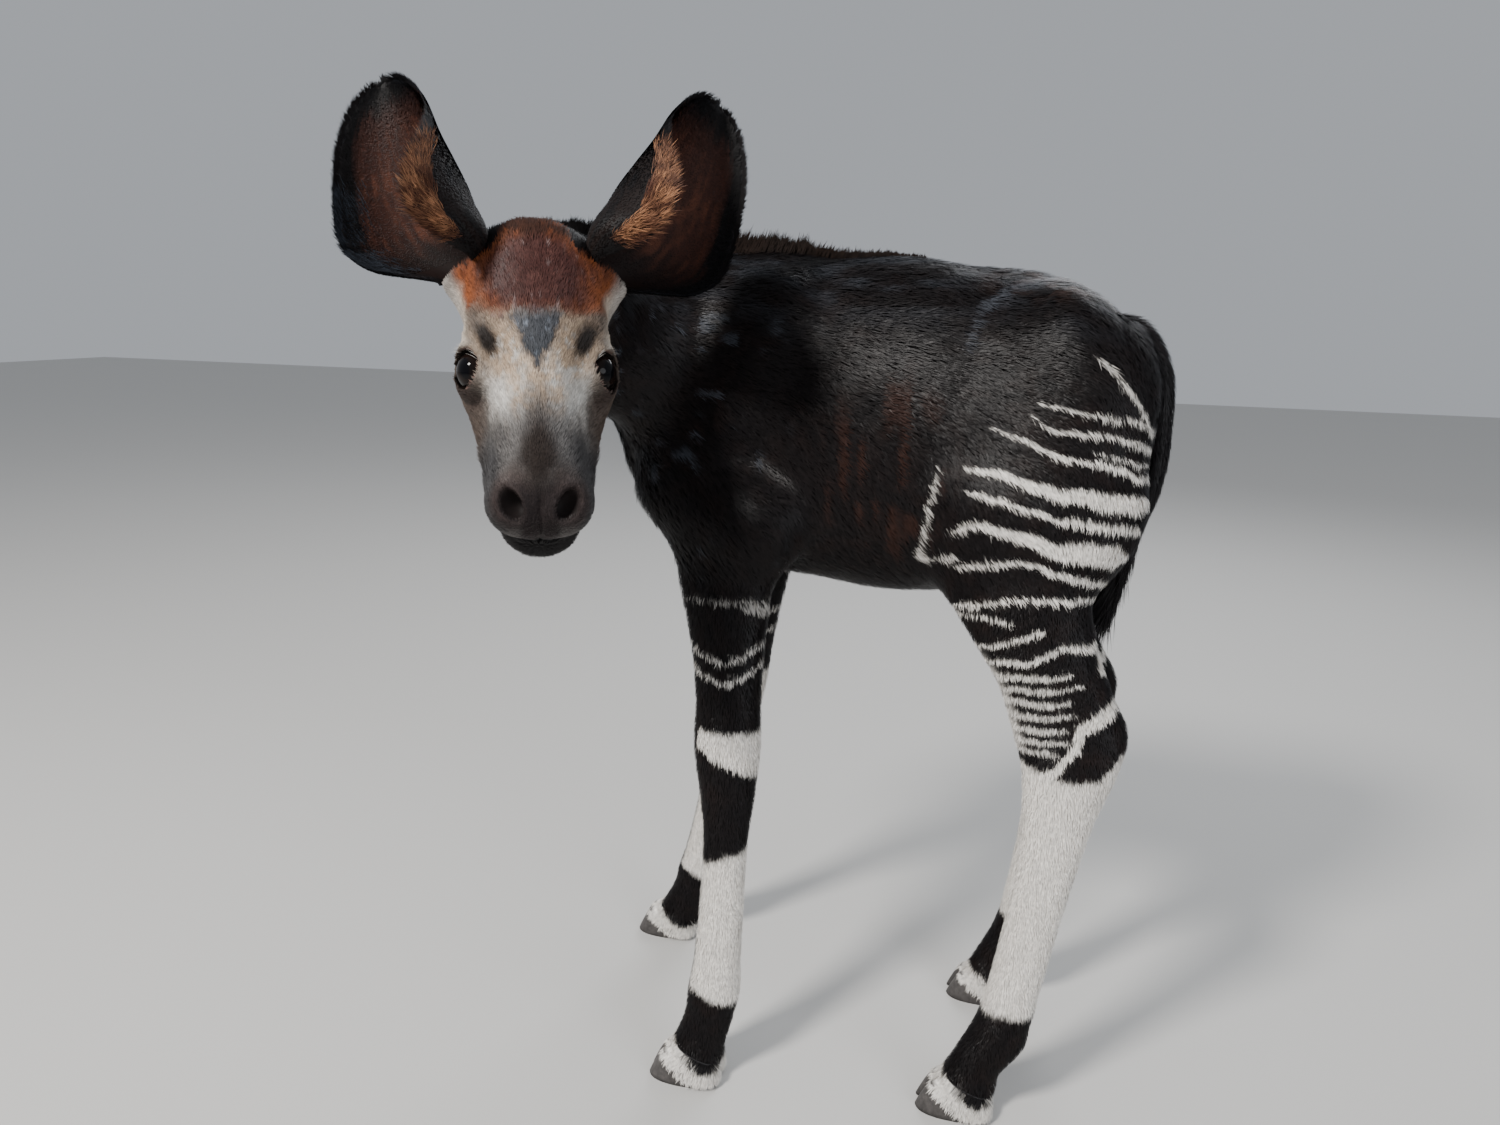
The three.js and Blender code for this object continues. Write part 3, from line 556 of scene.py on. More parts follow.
FORE_STRIPES = [
    ([(-268, 478), (-225, 480), (-180, 480)], 1, 1.5, 0.45),
    ([(-200, 476), (-172, 470)], 1, 7, 0.5),
    ([(-250, 437), (-230, 428), (-212, 423), (-196, 430), (-180, 443)], 1.5, 1.5, 0.9),
    ([(-250, 419), (-230, 409), (-212, 403), (-196, 410), (-180, 423)], 1.5, 1.5, 0.9),
]
# Path of a painted highlight: a bluish arc over the hip.
HIP_HIGHLIGHT = [(-20, 706), (-12, 738), (14, 757), (52, 770)]


def stripe(x, z, path, start, end):
    """Distance from the edge of a stripe that tapers at both ends, negative inside it."""
    best = np.full(len(x), FAR)
    points = np.array(path, float)
    lengths = norm(np.diff(points, axis=0))
    done, whole = 0, lengths.sum()
    for (ax, az), (bx, bz), length in zip(points, points[1:], lengths):
        t = np.clip(((x - ax) * (bx - ax) + (z - az) * (bz - az)) / length**2, 0, 1)
        gap = np.hypot(x - ax - t * (bx - ax), z - az - t * (bz - az))
        s = (done + t * length) / whole
        half = (start + (end - start) * s) * np.clip(0.3 + s * 6, 0, 1) * np.clip(0.4 + (1 - s) * 14, 0, 1)
        best = np.minimum(best, gap - half)
        done += length
    return best


def horn_line(p, name):
    """Height where the hair ends on the hoof: high in front, near the ground at the heel."""
    return 17 - 0.55 * np.clip(p[:, 0] - foot_of(name)[0], -28, 24)


def coronet_band(p, name, ragged):
    """The white band over the hoof."""
    level = p[:, 2] - horn_line(p, name) + ragged * 3
    return 0.95 * smooth(level, -8, -5) * (1 - smooth(level, 15, 18))


def hind_white(z, level, front):
    """White of the hind cannon, and the thin fringe up the front of the leg."""
    top = 341 + 10 * np.maximum(front, 0) ** 2 + 24 * smooth(-front, 0.5, 0.9)
    fringe = smooth(front, 0.70, 0.92) * smooth(z, 358, 368) * (1 - smooth(z, 430, 460))
    return smooth(level, 106, 114) * (1 - smooth(level, top, top + 7)), 0.62 * fringe


def fore_white(off_middle, level, front):
    """White of the fore cannon and of the wedge over the knee, with a dark strip in front."""
    white = smooth(level, 88 + front * 8, 95 + front * 8) * (1 - smooth(level + front * 9, 228, 236))
    wedge = smooth(level, 326 + front * 16, 331 + front * 16) * (1 - smooth(level, 355, 360))
    white = np.maximum(white, wedge * (front < 0.75))
    strip = smooth(front, 0.80, 0.9) * (off_middle < 9)
    return white * (1 - 0.85 * strip * (level < 300)), 0 * level


def leg_marks(base, p, ragged):
    """White cannons, black knees and fetlocks and a white line over each hoof."""
    hind = p[:, 0] > -120
    for name, (table, side, *_) in LEGS.items():
        mine = (p[:, 2] < 470) & (np.sign(p[:, 1]) == side) & (hind == name.startswith("hind"))
        if not mine.any():
            continue
        x, y, z = p[mine].T
        middle_x, middle_y = leg_axis(name, z)
        front = (middle_x - x) / through(table, 2, z)
        level = z + ragged[mine] * 5
        if name.startswith("hind"):
            white, fringe = hind_white(z, level, front)
        else:
            white, fringe = fore_white(np.abs(y - middle_y), level, front)
        white = np.maximum(white, coronet_band(p[mine], name, ragged[mine]))
        base[mine] = layered(base[mine], (WHITE, fringe), (WHITE, white))
    return base


def striped(base, p, where, paths, wave, ragged, inner):
    """White stripes laid over the base where the mask is true; inner is a mask kept dark."""
    if where.any():
        x, z = p[where, 0], p[where, 2] + wave[where]
        for path, start, end, strength in paths:
            d = stripe(x, z, path, start, end) + ragged[where]
            amount = strength * (1 - smooth(d, -0.8, 0.8)) * ~inner[where]
            base[where] = over(base[where], WHITE, amount)


def body_coat(p):
    """Colours of trunk, neck and legs, with painted highlights along the back, on the neck and shoulders, and
    in an arc over the hip.
    """
    x, y, z = p.T
    n1, n2 = noise(p, 38, 1), noise(p, 9, 2)
    croup = spot(p, (60, 0, 772), (80, 60, 50)) * smooth(n2, 0.35, 0.8)
    streaks = smooth(noise(p * [1, 1, 0.12], 7, 4), 0.55, 0.8)
    flank = spot(p, (-82, -100, 600), (52, 60, 95)) + spot(p, (-82, 100, 600), (52, 60, 95))
    # sheen: painted highlight, bluish grey along the top of the back
    sheen = smooth(z, 700, 790) * smooth(noise(p * [0.4, 1, 1], 12, 7), 0.35, 0.75)
    # damp_sheen: painted highlight, bluish streaks of wet locks on the neck and shoulders
    damp_sheen = smooth(noise(p * [0.55, 1, 0.55], 5, 8), 0.62, 0.84) * smooth(n1, 0.5, 0.7)
    # hip_highlight: painted highlight, a bluish arc over the hip
    hip_highlight = stripe(x, z, HIP_HIGHLIGHT, 1.5, 4) + n2 * 6
    base = layered(
        plain(BLACK, len(p)),
        (DARK, 0.05 + 0.35 * n1 * smooth(n2, 0.3, 0.9)),
        ((0.075, 0.032, 0.018), 0.5 * croup),
        ((0.055, 0.020, 0.012), 0.42 * flank * streaks),
        ((0.050, 0.056, 0.068), 0.55 * sheen),
        ((0.075, 0.085, 0.105), 0.5 * damp_sheen * smooth(-x, 150, 210) * smooth(z, 480, 560)),
        ((0.075, 0.082, 0.098), 0.55 * (1 - smooth(hip_highlight, 0, 7))),
    )
    ragged = noise(p * [0.45, 0.45, 1], 3.6, 5) - 0.5
    wave = (noise(p * [1, 1, 0.4], 15, 6) - 0.5) * 5 + (y > 0) * 4
    inner = (np.abs(y) < 26) & (z > 500)
    striped(base, p, (x > -70) & (z > 335), STRIPES, wave, ragged * 1.5, inner)
    striped(base, p, (x < -140) & (z > 380) & (z < 500), FORE_STRIPES, 0 * z, ragged * 2.4, inner)
    return leg_marks(base, p, ragged)


class Face:
    """Mirrored head places of points, with the noises that ruffle the markings."""

    def __init__(self, p, q):
        self.at = mirrored(q)
        self.u, self.v, self.w = self.at.T
        self.n1, self.n2 = noise(p, 14, 11), noise(p, 4, 12)
        self.rag = (self.n1 - 0.5) * 16 + (self.n2 - 0.5) * 6
        self.loose = self.at + self.rag[:, None] * [0.5, 0, 0.35]
        self.streak = smooth(noise(self.at * [0.25, 1, 1], 4.2, 14), 0.35, 0.75)
        self.wisp = smooth(noise(self.at * [0.35, 1, 1], 3.4, 15), 0.25, 0.8)

    def spot(self, *oval_and_edge):
        return spot(self.at, *oval_and_edge)

    def loose_spot(self, *oval_and_edge):
        return spot(self.loose, *oval_and_edge)


def cheeks_and_bridge(base, f):
    front = smooth(f.v + f.rag * 0.4, -12, 10)
    mottle = smooth(f.n2, 0.2, 0.7)
    lobe = f.spot((36, 44, 22), (36, 40, 17), 0.4) * smooth(f.n1 + f.streak * 0.3, 0.3, 0.7)
    return layered(
        base,
        (DARK, 0.6 * f.n1),
        ((0.10, 0.072, 0.056), smooth(f.v + f.rag * 0.5, -40, -14) * smooth(f.u, -70, -20)),
        (GREY, front * smooth(f.u, -30, 0)),
        (SILVER, (1 - smooth(f.w + f.rag * 0.3, 28, 42)) * front * smooth(f.u, -20, 10)),
        ((0.66, 0.64, 0.60), 0.75 * lobe),
        ((0.26, 0.20, 0.155), 0.55 * (1 - smooth(f.w + f.rag * 0.15, 3, 10)) * front * smooth(f.u, 24, 40)),
        ((0.16, 0.11, 0.08), 0.35 * f.streak * front * smooth(f.u, -20, 0)),
        (TAN, 0.6 * f.spot((40, 42, 10), (30, 20, 11)) * mottle),
        (TAN, 0.6 * f.spot((16, 42, 24), (20, 20, 9)) * mottle),
        # Painted shade on the side of the face below the eye.
        ((0.07, 0.052, 0.043), 0.85 * f.spot((50, 6, 47), (32, 26, 15))),
        ((0.34, 0.25, 0.175), 0.9 * f.spot((4, 36, 26), (26, 40, 22), 0.5) * smooth(f.n2, 0.0, 0.5)),
    )


CAP = (-58, 36, 0), (48, 62, 62)


def crown(base, f):
    """Chestnut cap with a maroon middle and painted highlights in it, and the pale patches under the ears."""
    # gleam: painted highlight, pale pinkish streaks in the maroon
    gleam = smooth(noise(f.at * [0.3, 1, 1], 3.0, 16), 0.66, 0.9) * smooth(f.n1, 0.35, 0.7)
    return layered(
        base,
        (CHESTNUT, f.loose_spot(*CAP, 0.13)),
        ((0.11, 0.034, 0.018), 0.75 * f.wisp * f.loose_spot(*CAP, 0.2)),
        (MAROON, f.loose_spot((-44, 50, 0), (34, 60, 38), 0.3)),
        ((0.13, 0.055, 0.045), 0.55 * f.wisp * f.n2 * f.loose_spot((-44, 50, 0), (36, 60, 40), 0.3)),
        ((0.34, 0.26, 0.25), 0.5 * gleam * f.loose_spot((-40, 50, 0), (32, 60, 40), 0.3)),
        (DARK, 0.9 * f.loose_spot((-98, 44, 0), (24, 36, 40), 0.3) * smooth(f.n2, 0.0, 0.4)),
        (CREAM, 0.75 * f.loose_spot((-20, 12, 60), (34, 24, 15))),
        ((0.50, 0.46, 0.42), 0.75 * f.loose_spot((-58, -8, 66), (34, 26, 20))),
    )


def brow(base, f):
    """Slate wedge between the eyes with painted highlight streaks, and painted shade in the hollow slanting
    over each.
    """
    wedge = np.clip(1 - (f.u + 8) / 42, 0, 1) ** 1.2 * 20
    across = f.w + f.rag * 0.3 + (f.n2 - 0.5) * 6
    slate = (1 - smooth(across, wedge - 2, wedge + 2)) * smooth(f.u + f.rag * 0.7, -16, -2) * (wedge > 0)
    edge = (1 - smooth(np.abs(across - wedge), 1.0, 5.0)) * smooth(f.u, -12, -2) * (wedge > 0)
    slant = f.at + ((f.u + f.rag * 0.4) * 0.45)[:, None] * [0, 0, 1]
    return layered(
        base,
        ((0.085, 0.060, 0.046), 0.7 * edge),
        ((0.050, 0.056, 0.067), 0.95 * slate),
        # Painted highlight: pale bluish streaks on the slate.
        ((0.22, 0.25, 0.30), 0.6 * slate * smooth(f.wisp, 0.5, 0.9) * smooth(f.n2, 0.2, 0.7)),
        # Painted shade in the brow hollow over the eye, darkest at its middle.
        ((0.070, 0.048, 0.036), 0.8 * spot(slant, (-3, 38, 36), (18, 30, 8.5), 0.5)),
        ((0.010, 0.007, 0.006), 0.95 * spot(slant, (3, 38, 36), (12, 30, 6), 0.45)),
    )


def nose_and_lips(base, f):
    dusk = smooth(f.u + f.rag * 0.6 + (20 - f.w) * 0.45, 42, 78)
    centre = (1 - smooth(f.w + f.rag * 0.3, 2, 11)) * smooth(f.u, 40, 84) * smooth(f.v, 5, 15)
    lower = 1 - smooth(f.v + f.rag * 0.2 + f.w * 0.12, MOUTH_V + 5, MOUTH_V + 13)
    under = (1 - smooth(f.v + f.rag * 0.5, -56, -36)) * (1 - smooth(f.u, 60, 80))
    return layered(
        base,
        ((0.090, 0.083, 0.082), dusk * 0.88),
        ((0.040, 0.040, 0.043), 0.75 * dusk * smooth(f.w + f.rag * 0.3, 20, 30)),
        ((0.045, 0.034, 0.029), 0.6 * centre),
        ((0.026, 0.018, 0.015), 0.9 * f.loose_spot((93, 32, 0), (19, 24, 14), 0.45)),
        ((0.085, 0.062, 0.055), 0.7 * f.spot(NOSTRIL - [6, -4, 0], (20, 18, 15), 0.4)),
        ((0.040, 0.028, 0.027), 0.85 * f.spot(NOSTRIL, (19, 17, 16))),
        ((0.032, 0.024, 0.024), smooth(f.u, 106, 120) * (1 - smooth(f.w, 10, 16))),
        ((0.005, 0.0035, 0.0035), 1 - smooth(nostril_reach(f.at), 1.0, 1.45)),
        ((0.008, 0.007, 0.0075), lower * smooth(f.u, 70, 92)),
        ((0.030, 0.024, 0.022), under),
    )


def ears_and_lids(base, f):
    """Black at the foot of the ears, brown round the eyes, and a painted shadow under each eye."""
    foot = f.at - EAR_FOOT
    up = foot @ ear_frame("left")[0]
    from_eye = norm(f.at - EYE_AT)
    lids = 1 - smooth(np.abs(lid_cut(f.at)), 1.6, 3.4)
    return layered(
        base,
        (BLACK, f.loose_spot((-92, 34, 44), (22, 26, 17), 0.25) * smooth(-foot[:, 2], -4, 6)),
        (BLACK, smooth(up, -7, -2) * (norm(foot) < 44) * smooth(-f.u, 66, 74)),
        (EYE_RIM_AND_SHADOW_BROWN, 0.9 * (1 - smooth(from_eye, 20.5, 24.5))),
        # Painted shadow under the lower corner of the eye, in the rim's brown.
        (EYE_RIM_AND_SHADOW_BROWN, 0.75 * f.spot(EYE_AT + [17, -4, 2], (11, 12, 11))),
        (LID, 0.9 * lids * (from_eye < 24)),
    )


HEAD_ROOT = np.array([-350, -172, 734.0])
HEAD_FORWARD = unit(np.array([0.379, -0.883, -0.011]))


def markings(p):
    colour = body_coat(p)
    near = norm(p - HEAD_AT) < 190
    if near.any():
        p = p[near]
        on_head = smooth((p - HEAD_ROOT) @ HEAD_FORWARD + (noise(p, 10, 9) - 0.5) * 14, -8, 10)
        on_head *= norm(p - HEAD_AT) < 175
        face, base = Face(p, to_head(p)), plain(BLACK, len(p))
        for paint in (cheeks_and_bridge, crown, brow, nose_and_lips, ears_and_lids):
            base = paint(base, face)
        colour[near] = over(colour[near], base, on_head)
    return colour


# Meshes, materials and pieces
def in_scene(name, data):
    piece = bpy.data.objects.new(name, data)
    bpy.context.scene.collection.objects.link(piece)
    return piece


def mesh_piece(name, points, faces, colours, material, replaced=(), uv=None, flat_ends=False):
    """points in the calf's millimetres; faces a list of arrays; uv one row for each corner."""
    mesh = bpy.data.meshes.new(name)
    sides = np.concatenate([np.full(len(f), f.shape[1]) for f in faces])
    corners = np.concatenate([f.ravel() for f in faces]).astype(np.int32)
    mesh.vertices.add(len(points))
    mesh.vertices.foreach_set("co", place(points).astype(np.float32).ravel())
    mesh.loops.add(len(corners))
    mesh.loops.foreach_set("vertex_index", corners)
    mesh.polygons.add(len(sides))
    mesh.polygons.foreach_set("loop_start", (np.cumsum(sides) - sides).astype(np.int32))
    mesh.update(calc_edges=True)
    mesh.polygons.foreach_set("use_smooth", (sides > 3) | (not flat_ends))
    layer = mesh.color_attributes.new("coat", "FLOAT_COLOR", "POINT")
    layer.data.foreach_set("color", np.insert(colours, 3, 1, axis=1).astype(np.float32).ravel())
    if uv is not None:
        layer = mesh.uv_layers.new(name="OFBake")
        layer.data.foreach_set("uv", uv.astype(np.float32).ravel())
    piece = in_scene(name, mesh)
    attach(piece, "root")
    mesh.materials.append(material)
    if replaced:
        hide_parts(*replaced)


def sheet(rows, count, closed):
    """Quads over rows of count points; closed joins each row's last point to its first."""
    i, k = np.meshgrid(np.arange(rows - 1) * count, np.arange(count - (not closed)), indexing="ij")
    i, k = i.ravel(), k.ravel()
    j = (k + 1) % count
    return stacked(i + k, i + j, i + count + j, i + count + k)


def capped(rows, count):
    """Quads round a tube and triangles to a point at each end; these two points come last."""
    k = np.arange(count)
    j = (k + 1) % count
    low, last = rows * count, (rows - 1) * count
    ends = [stacked(low, j, k), stacked(low + 1, last + k, last + j)]
    return [sheet(rows, count, True), np.concatenate(ends)]


def set_inputs(node, values):
    for name, value in values.items():
        node.inputs[name].default_value = value


def ranged(tree, source, values):
    """A map range node on the source."""
    node = tree.nodes.new("ShaderNodeMapRange")
    set_inputs(node, values)
    tree.links.new(source, node.inputs["Value"])
    return node.outputs["Result"]


def painted_material(name, shader_values, grain_values, shade_values):
    """A material in the coat's colours, varied by a fine noise; gives its noise and its shader too."""
    m = bpy.data.materials.new(name)
    m.use_nodes = True
    tree = m.node_tree
    shader = tree.nodes["Principled BSDF"]
    set_inputs(shader, shader_values)
    paint = tree.nodes.new("ShaderNodeAttribute")
    paint.attribute_name = "coat"
    where = tree.nodes.new("ShaderNodeTexCoord")
    fine = tree.nodes.new("ShaderNodeTexNoise")
    set_inputs(fine, grain_values)
    tree.links.new(where.outputs["Object"], fine.inputs["Vector"])
    mix = tree.nodes.new("ShaderNodeVectorMath")
    mix.operation = "MULTIPLY"
    tree.links.new(paint.outputs["Color"], mix.inputs[0])
    tree.links.new(ranged(tree, fine.outputs["Fac"], shade_values), mix.inputs[1])
    tree.links.new(mix.outputs["Vector"], shader.inputs["Base Color"])
    return m, fine.outputs["Fac"], shader


def coat_material(name, rough, sheen, gloss, grain=0.0006, spread=0.22, tint=(0.62, 0.70, 0.86, 1)):
    values = {"Sheen Weight": sheen, "Sheen Roughness": 0.45, "Sheen Tint": tint, "Specular IOR Level": gloss}
    shades = {"From Min": 0.3, "From Max": 0.7, "To Min": 1 - spread, "To Max": 1 + spread}
    m, fine, shader = painted_material(name, values, {"Scale": 260, "Detail": 4}, shades)
    tree = m.node_tree
    damp_sheen = ranged(tree, fine, {"To Min": rough - 0.09, "To Max": rough + 0.09})
    tree.links.new(damp_sheen, shader.inputs["Roughness"])
    bump = tree.nodes.new("ShaderNodeBump")
    set_inputs(bump, {"Strength": 0.6, "Distance": grain})
    tree.links.new(fine, bump.inputs["Height"])
    tree.links.new(bump.outputs["Normal"], shader.inputs["Normal"])
    return m


def eye_material():
    values = {"Roughness": 0.05, "IOR": 1.22}
    return painted_material("wet eye", values, {"Scale": 700}, {"To Min": 0.7, "To Max": 1.3})[0]


# The camera of the picture
CAMERA_AT = np.array([0, -1008, 740.0])
CAMERA_TURN, CAMERA_DOWN, CAMERA_ROLL = np.radians([12, 13.5, 1.6])


def camera():
    right = np.array([np.cos(CAMERA_TURN), np.sin(CAMERA_TURN), 0])
    level = np.array([-np.sin(CAMERA_TURN), np.cos(CAMERA_TURN), 0])
    ahead = level * np.cos(CAMERA_DOWN) - AXIS_Z * np.sin(CAMERA_DOWN)
    high = AXIS_Z * np.cos(CAMERA_DOWN) + level * np.sin(CAMERA_DOWN)
    rolled_right = right * np.cos(CAMERA_ROLL) + high * np.sin(CAMERA_ROLL)
    rolled_high = high * np.cos(CAMERA_ROLL) - right * np.sin(CAMERA_ROLL)
    data = bpy.data.cameras.new("camera")
    data.lens, data.sensor_width = 25.92, 36
    data.clip_start, data.clip_end = 0.05, 60
    obj = in_scene("camera", data)
    matrix = np.eye(4)
    matrix[:3] = stacked(rolled_right, rolled_high, -ahead, place(CAMERA_AT))
    obj.matrix_world = Matrix(matrix.tolist())
    bpy.context.scene.camera = obj


LIGHTS_MEET = Vector((0, 0, 0.45))


def light(name, at, size, power, colour):
    data = bpy.data.lights.new(name, "AREA")
    data.shape, data.size, data.energy, data.color = "DISK", size, power, colour
    obj = in_scene(name, data)
    obj.location = at
    obj.rotation_mode = "QUATERNION"
    obj.rotation_quaternion = (LIGHTS_MEET - Vector(at)).to_track_quat("-Z", "Y")


def studio():
    mesh = bpy.data.meshes.new("floor")
    mesh.from_pydata([(-9, -9, 0), (9, -9, 0), (9, 9, 0), (-9, 9, 0)], [], [(0, 1, 2, 3)])
    floor = in_scene("floor", mesh)
    m = bpy.data.materials.new("pale floor")
    m.use_nodes = True
    set_inputs(m.node_tree.nodes["Principled BSDF"], {"Base Color": (0.60, 0.59, 0.57, 1), "Roughness": 0.8})
    mesh.materials.append(m)
    world = bpy.data.worlds.new("studio")
    bpy.context.scene.world = world
    world.use_nodes = True
    set_inputs(world.node_tree.nodes["Background"], {"Color": (0.80, 0.84, 0.90, 1), "Strength": 0.5})
    light("key", (-1.3, -2.0, 2.6), 0.6, 130, (1, 0.97, 0.93))
    light("fill", (2.2, -1.6, 1.5), 1.6, 26, (0.93, 0.96, 1))
    light("rim", (0.6, 2.3, 2.5), 1.6, 38, (0.95, 0.97, 1))


# Tufts: three-sided blades of a few triangles, root sunk in the skin, tip along the lie of the coat
BLADE = np.array([(0, 1, 3), (0, 3, 2), (2, 3, 4)])
PATCH = np.array([(-0.0012, -0.0015), (0.0012, -0.0015), (-0.001, 0), (0.001, 0), (0, 0.0015)])
DENSITY = 1.0
BREADTH = 1.0


def coat_root_shade(colours):
    """Painted shade at the roots of the hair and on the skin under it: deep under black hair, hardly any under
    white.
    """
    return 0.62 + 0.30 * smooth(colours[:, 1:2], 0.05, 0.5)


def tuft_piece(name, roots, normals, lie, length, width, height, colours, uv, material, slot, lift=0.0,
               sink=0.5):
    """One blade at each root. lift from 0, lying flat, to 1, on end."""
    count = len(roots)
    flat = square_to(normals, lie)
    flat = unit(flat + np.cross(normals, flat) * rng.normal(0, 0.10, (count, 1)))
    side = np.cross(normals, flat)
    length, width, height = (np.broadcast_to(a, count)[:, None] for a in (length, width, height))
    length = length * rng.uniform(0.75, 1.2, (count, 1))
    rise = height * rng.uniform(0.65, 1.1, (count, 1)) + lift * length
    half = side * width * BREADTH * rng.uniform(0.8, 1.2, (count, 1)) * 0.5
    bend = side * rng.normal(0, 0.07, (count, 1)) * length
    base = roots - normals * sink
    middle = roots + flat * length * 0.5 * (1 - 0.4 * lift) + normals * rise * 0.72 + bend * 0.3
    tip = roots + flat * length * (1 - 0.5 * lift) + normals * rise + bend
    points = np.stack([base - half, base + half, middle - half * 0.84, middle + half * 0.84, tip], 1)
    faces = (np.arange(count)[:, None, None] * 5 + BLADE).reshape(-1, 3)
    tone = rng.uniform(0.82, 1.16, (count, 1, 1))
    # Roots carry the painted shade; tips are painted 8% lighter as a sheen.
    shades = np.stack([colours * coat_root_shade(colours)] * 2 + [colours] * 2 + [colours * 1.08], 1) * tone
    corners = (uv[:, None] + PATCH)[:, BLADE].reshape(-1, 2)
    shades = np.clip(shades.reshape(-1, 3), 0, 1)
    mesh_piece(name, points.reshape(-1, 3), [faces], shades, material, (), corners)


def around(a, b):
    """Turn round an axis, from 0 to 1."""
    return np.arctan2(a, b) / FULL_TURN + 0.5


# Coat: tufts grown on the skin, in pieces by part of the body
PLAIN_LIE = {"neck": (0.55, 0.45, -0.65), "leg": (0.12, 0.0, -1.0)}
TUFTS_PER_MM2 = {"head": 0.74, "neck": 0.30, "trunk": 0.32, "leg": 0.31}
MOST_TUFTS = 65500
BARE_EYE, BARE_NOSTRIL = 19.3, 1.2


def lie_of_coat(p, kind):
    """The way the hair points: back and down on the body, down the legs, from the nose up the face."""
    if kind == "head":
        _, v, w = to_head(p).T
        up_face = stacked(-1.0, 0.05 - 0.35 * (np.abs(w) > 35), np.clip(w / 14, -1, 1) * 0.25)
        way = np.where((v < -30)[:, None], [-0.8, -0.4, 0], up_face) @ HEAD
    elif kind == "trunk":
        rump, low = smooth(p[:, 0], 30, 130), smooth(-p[:, 2], -720, -560)
        way = stacked(0.95 - 0.6 * rump - 0.3 * low, np.sign(p[:, 1]) * 0.15, -0.25 - 0.6 * rump - 0.5 * low)
    else:
        way = np.array(PLAIN_LIE[kind])
    sway = (noise(p, 22, 21) - 0.5) * 0.7
    return unit(way + stacked(0, sway, sway * 0.6) + rng.normal(0, 0.13, (len(p), 3)))


def part_of(p):
    """Which piece of the coat a point belongs to."""
    q, field = to_head(p), parts(p)
    trunk, legs = field[:, 0], field[:, 1:5]
    head = ((p - HEAD_ROOT) @ HEAD_FORWARD > 0) & (norm(q * [0.8, 1, 1]) < 170)
    neck = ~head & (field[:, 5] < trunk - 6) & (p[:, 0] < -225)
    leg_top = np.where(p[:, 0] < -120, 505, 500)
    leg = ~head & ~neck & (p[:, 2] < leg_top) & (legs.min(1) < trunk + 4)
    half = np.where(p[:, 0] < -60, "body_front", "body_rear")
    body = np.char.add(half, np.where(p[:, 1] < 0, "_left", "_right"))
    out = np.where(leg, np.array(list(LEGS))[legs.argmin(1)], body)
    out = np.where(neck, "neck", out)
    return np.where(head, np.where(q[:, 2] < 0, "face_left", "face_right"), out)


def unwrap(p, part):
    """Place of each point on a flat unwrap of its part, from 0 to 1."""
    x, y, z = p.T
    if part.startswith("face"):
        u, v, w = to_head(p).T
        return stacked(around(w, v), (u + 130) / 290)
    if part == "neck":
        way = unit(np.array([0.62, 0.62, -0.2]))
        r = p - np.array([-315, -72, 710])
        return stacked(around(r @ unit(np.cross(way, AXIS_Z)), r[:, 2]), 0.5 + (r @ way) / 320)
    if part.startswith("body"):
        return stacked(around(y, z - 640), (x + 360) / 540)
    middle_x, middle_y = leg_axis(part, z)
    return stacked(around(y - middle_y, x - middle_x), z / 560)


def among_stripes(p):
    return smooth(p[:, 0], -60, 0) * (1 - smooth(p[:, 2], 660, 720))


def crowding(p, kind, part):
    """How much denser the coat is at a point than is usual for its kind."""
    if kind == "trunk":
        return 1 + 0.8 * among_stripes(p)
    if kind == "head":
        q = mirrored(to_head(p))
        bare = (norm(q - EYE_AT) <= BARE_EYE) | (nostril_reach(q) <= BARE_NOSTRIL)
        return (1 + 0.5 * smooth(q[:, 0], 60, 100)) * ~bare
    if kind == "leg":
        z = p[:, 2]
        return 1 + 0.7 * (1 - smooth(z, 100, 380)) + 0.8 * smooth(z, 340, 360) * part.startswith("hind")
    return 1.0


def scattered(tris, weight, per_mm2):
    """Random points on the skin's triangles, and the normals there."""
    count = int(min(weight.sum() * per_mm2 * DENSITY, MOST_TUFTS))
    ends = tris[rng.choice(len(tris), count, p=weight / weight.sum())]
    s, t = rng.random((2, count, 1))
    s, t = np.where(s + t > 1, [1 - s, 1 - t], [s, t])
    shares = (1 - s - t, s, t)
    root, normal = (sum(v[ends[:, k]] * shares[k] for k in range(3)) for v in (skin_points, skin_normals))
    return root, unit(normal)


def tuft_shape(root, kind, part):
    """Length, width and height of the tufts at their roots."""
    depth, clump = coat_depth(root), noise(root, 6, 31)
    if kind == "head":
        q = to_head(root)
        muzzle = smooth(q[:, 0], 70, 105) * (q[:, 1] > MOUTH_V)
        poll = spot(q, (-92, 44, 0), (26, 26, 30))
        ruff = spot(np.abs(q) * [-1, 1, 1], (-86, 30, 46), (22, 30, 20))
        rim = 1 - smooth(norm(mirrored(q) - EYE_AT), 20, 30)
        length = 5.6 - 2.9 * muzzle + 6 * poll + 6 * ruff + 2.5 * smooth(-q[:, 1], 30, 50)
        height = depth * (0.7 + 0.3 * clump) + 2.4 * poll * (0.4 + clump) + 3.0 * ruff
        return length * (1 - 0.6 * rim), 0.66 - 0.13 * muzzle - 0.16 * rim, height
    if kind == "leg":
        low, hem = 1 - smooth(root[:, 2], 120, 420), 1 - smooth(root[:, 2], 30, 44)
        banded = part.startswith("hind") * spot(root, (40, root[0, 1], 410), (90, 90, 68), 0.15)
        length, width = 9.0 - 2.6 * low - 3.2 * banded + 5 * hem, 0.92 - 0.16 * low - 0.16 * banded
        return length, width, depth * (0.8 + 0.5 * clump) + 5.0 * hem
    among = among_stripes(root)
    return 12.5 + 3 * clump - 4 * among, 0.99 - 0.15 * among, depth * (0.75 + 0.7 * clump)


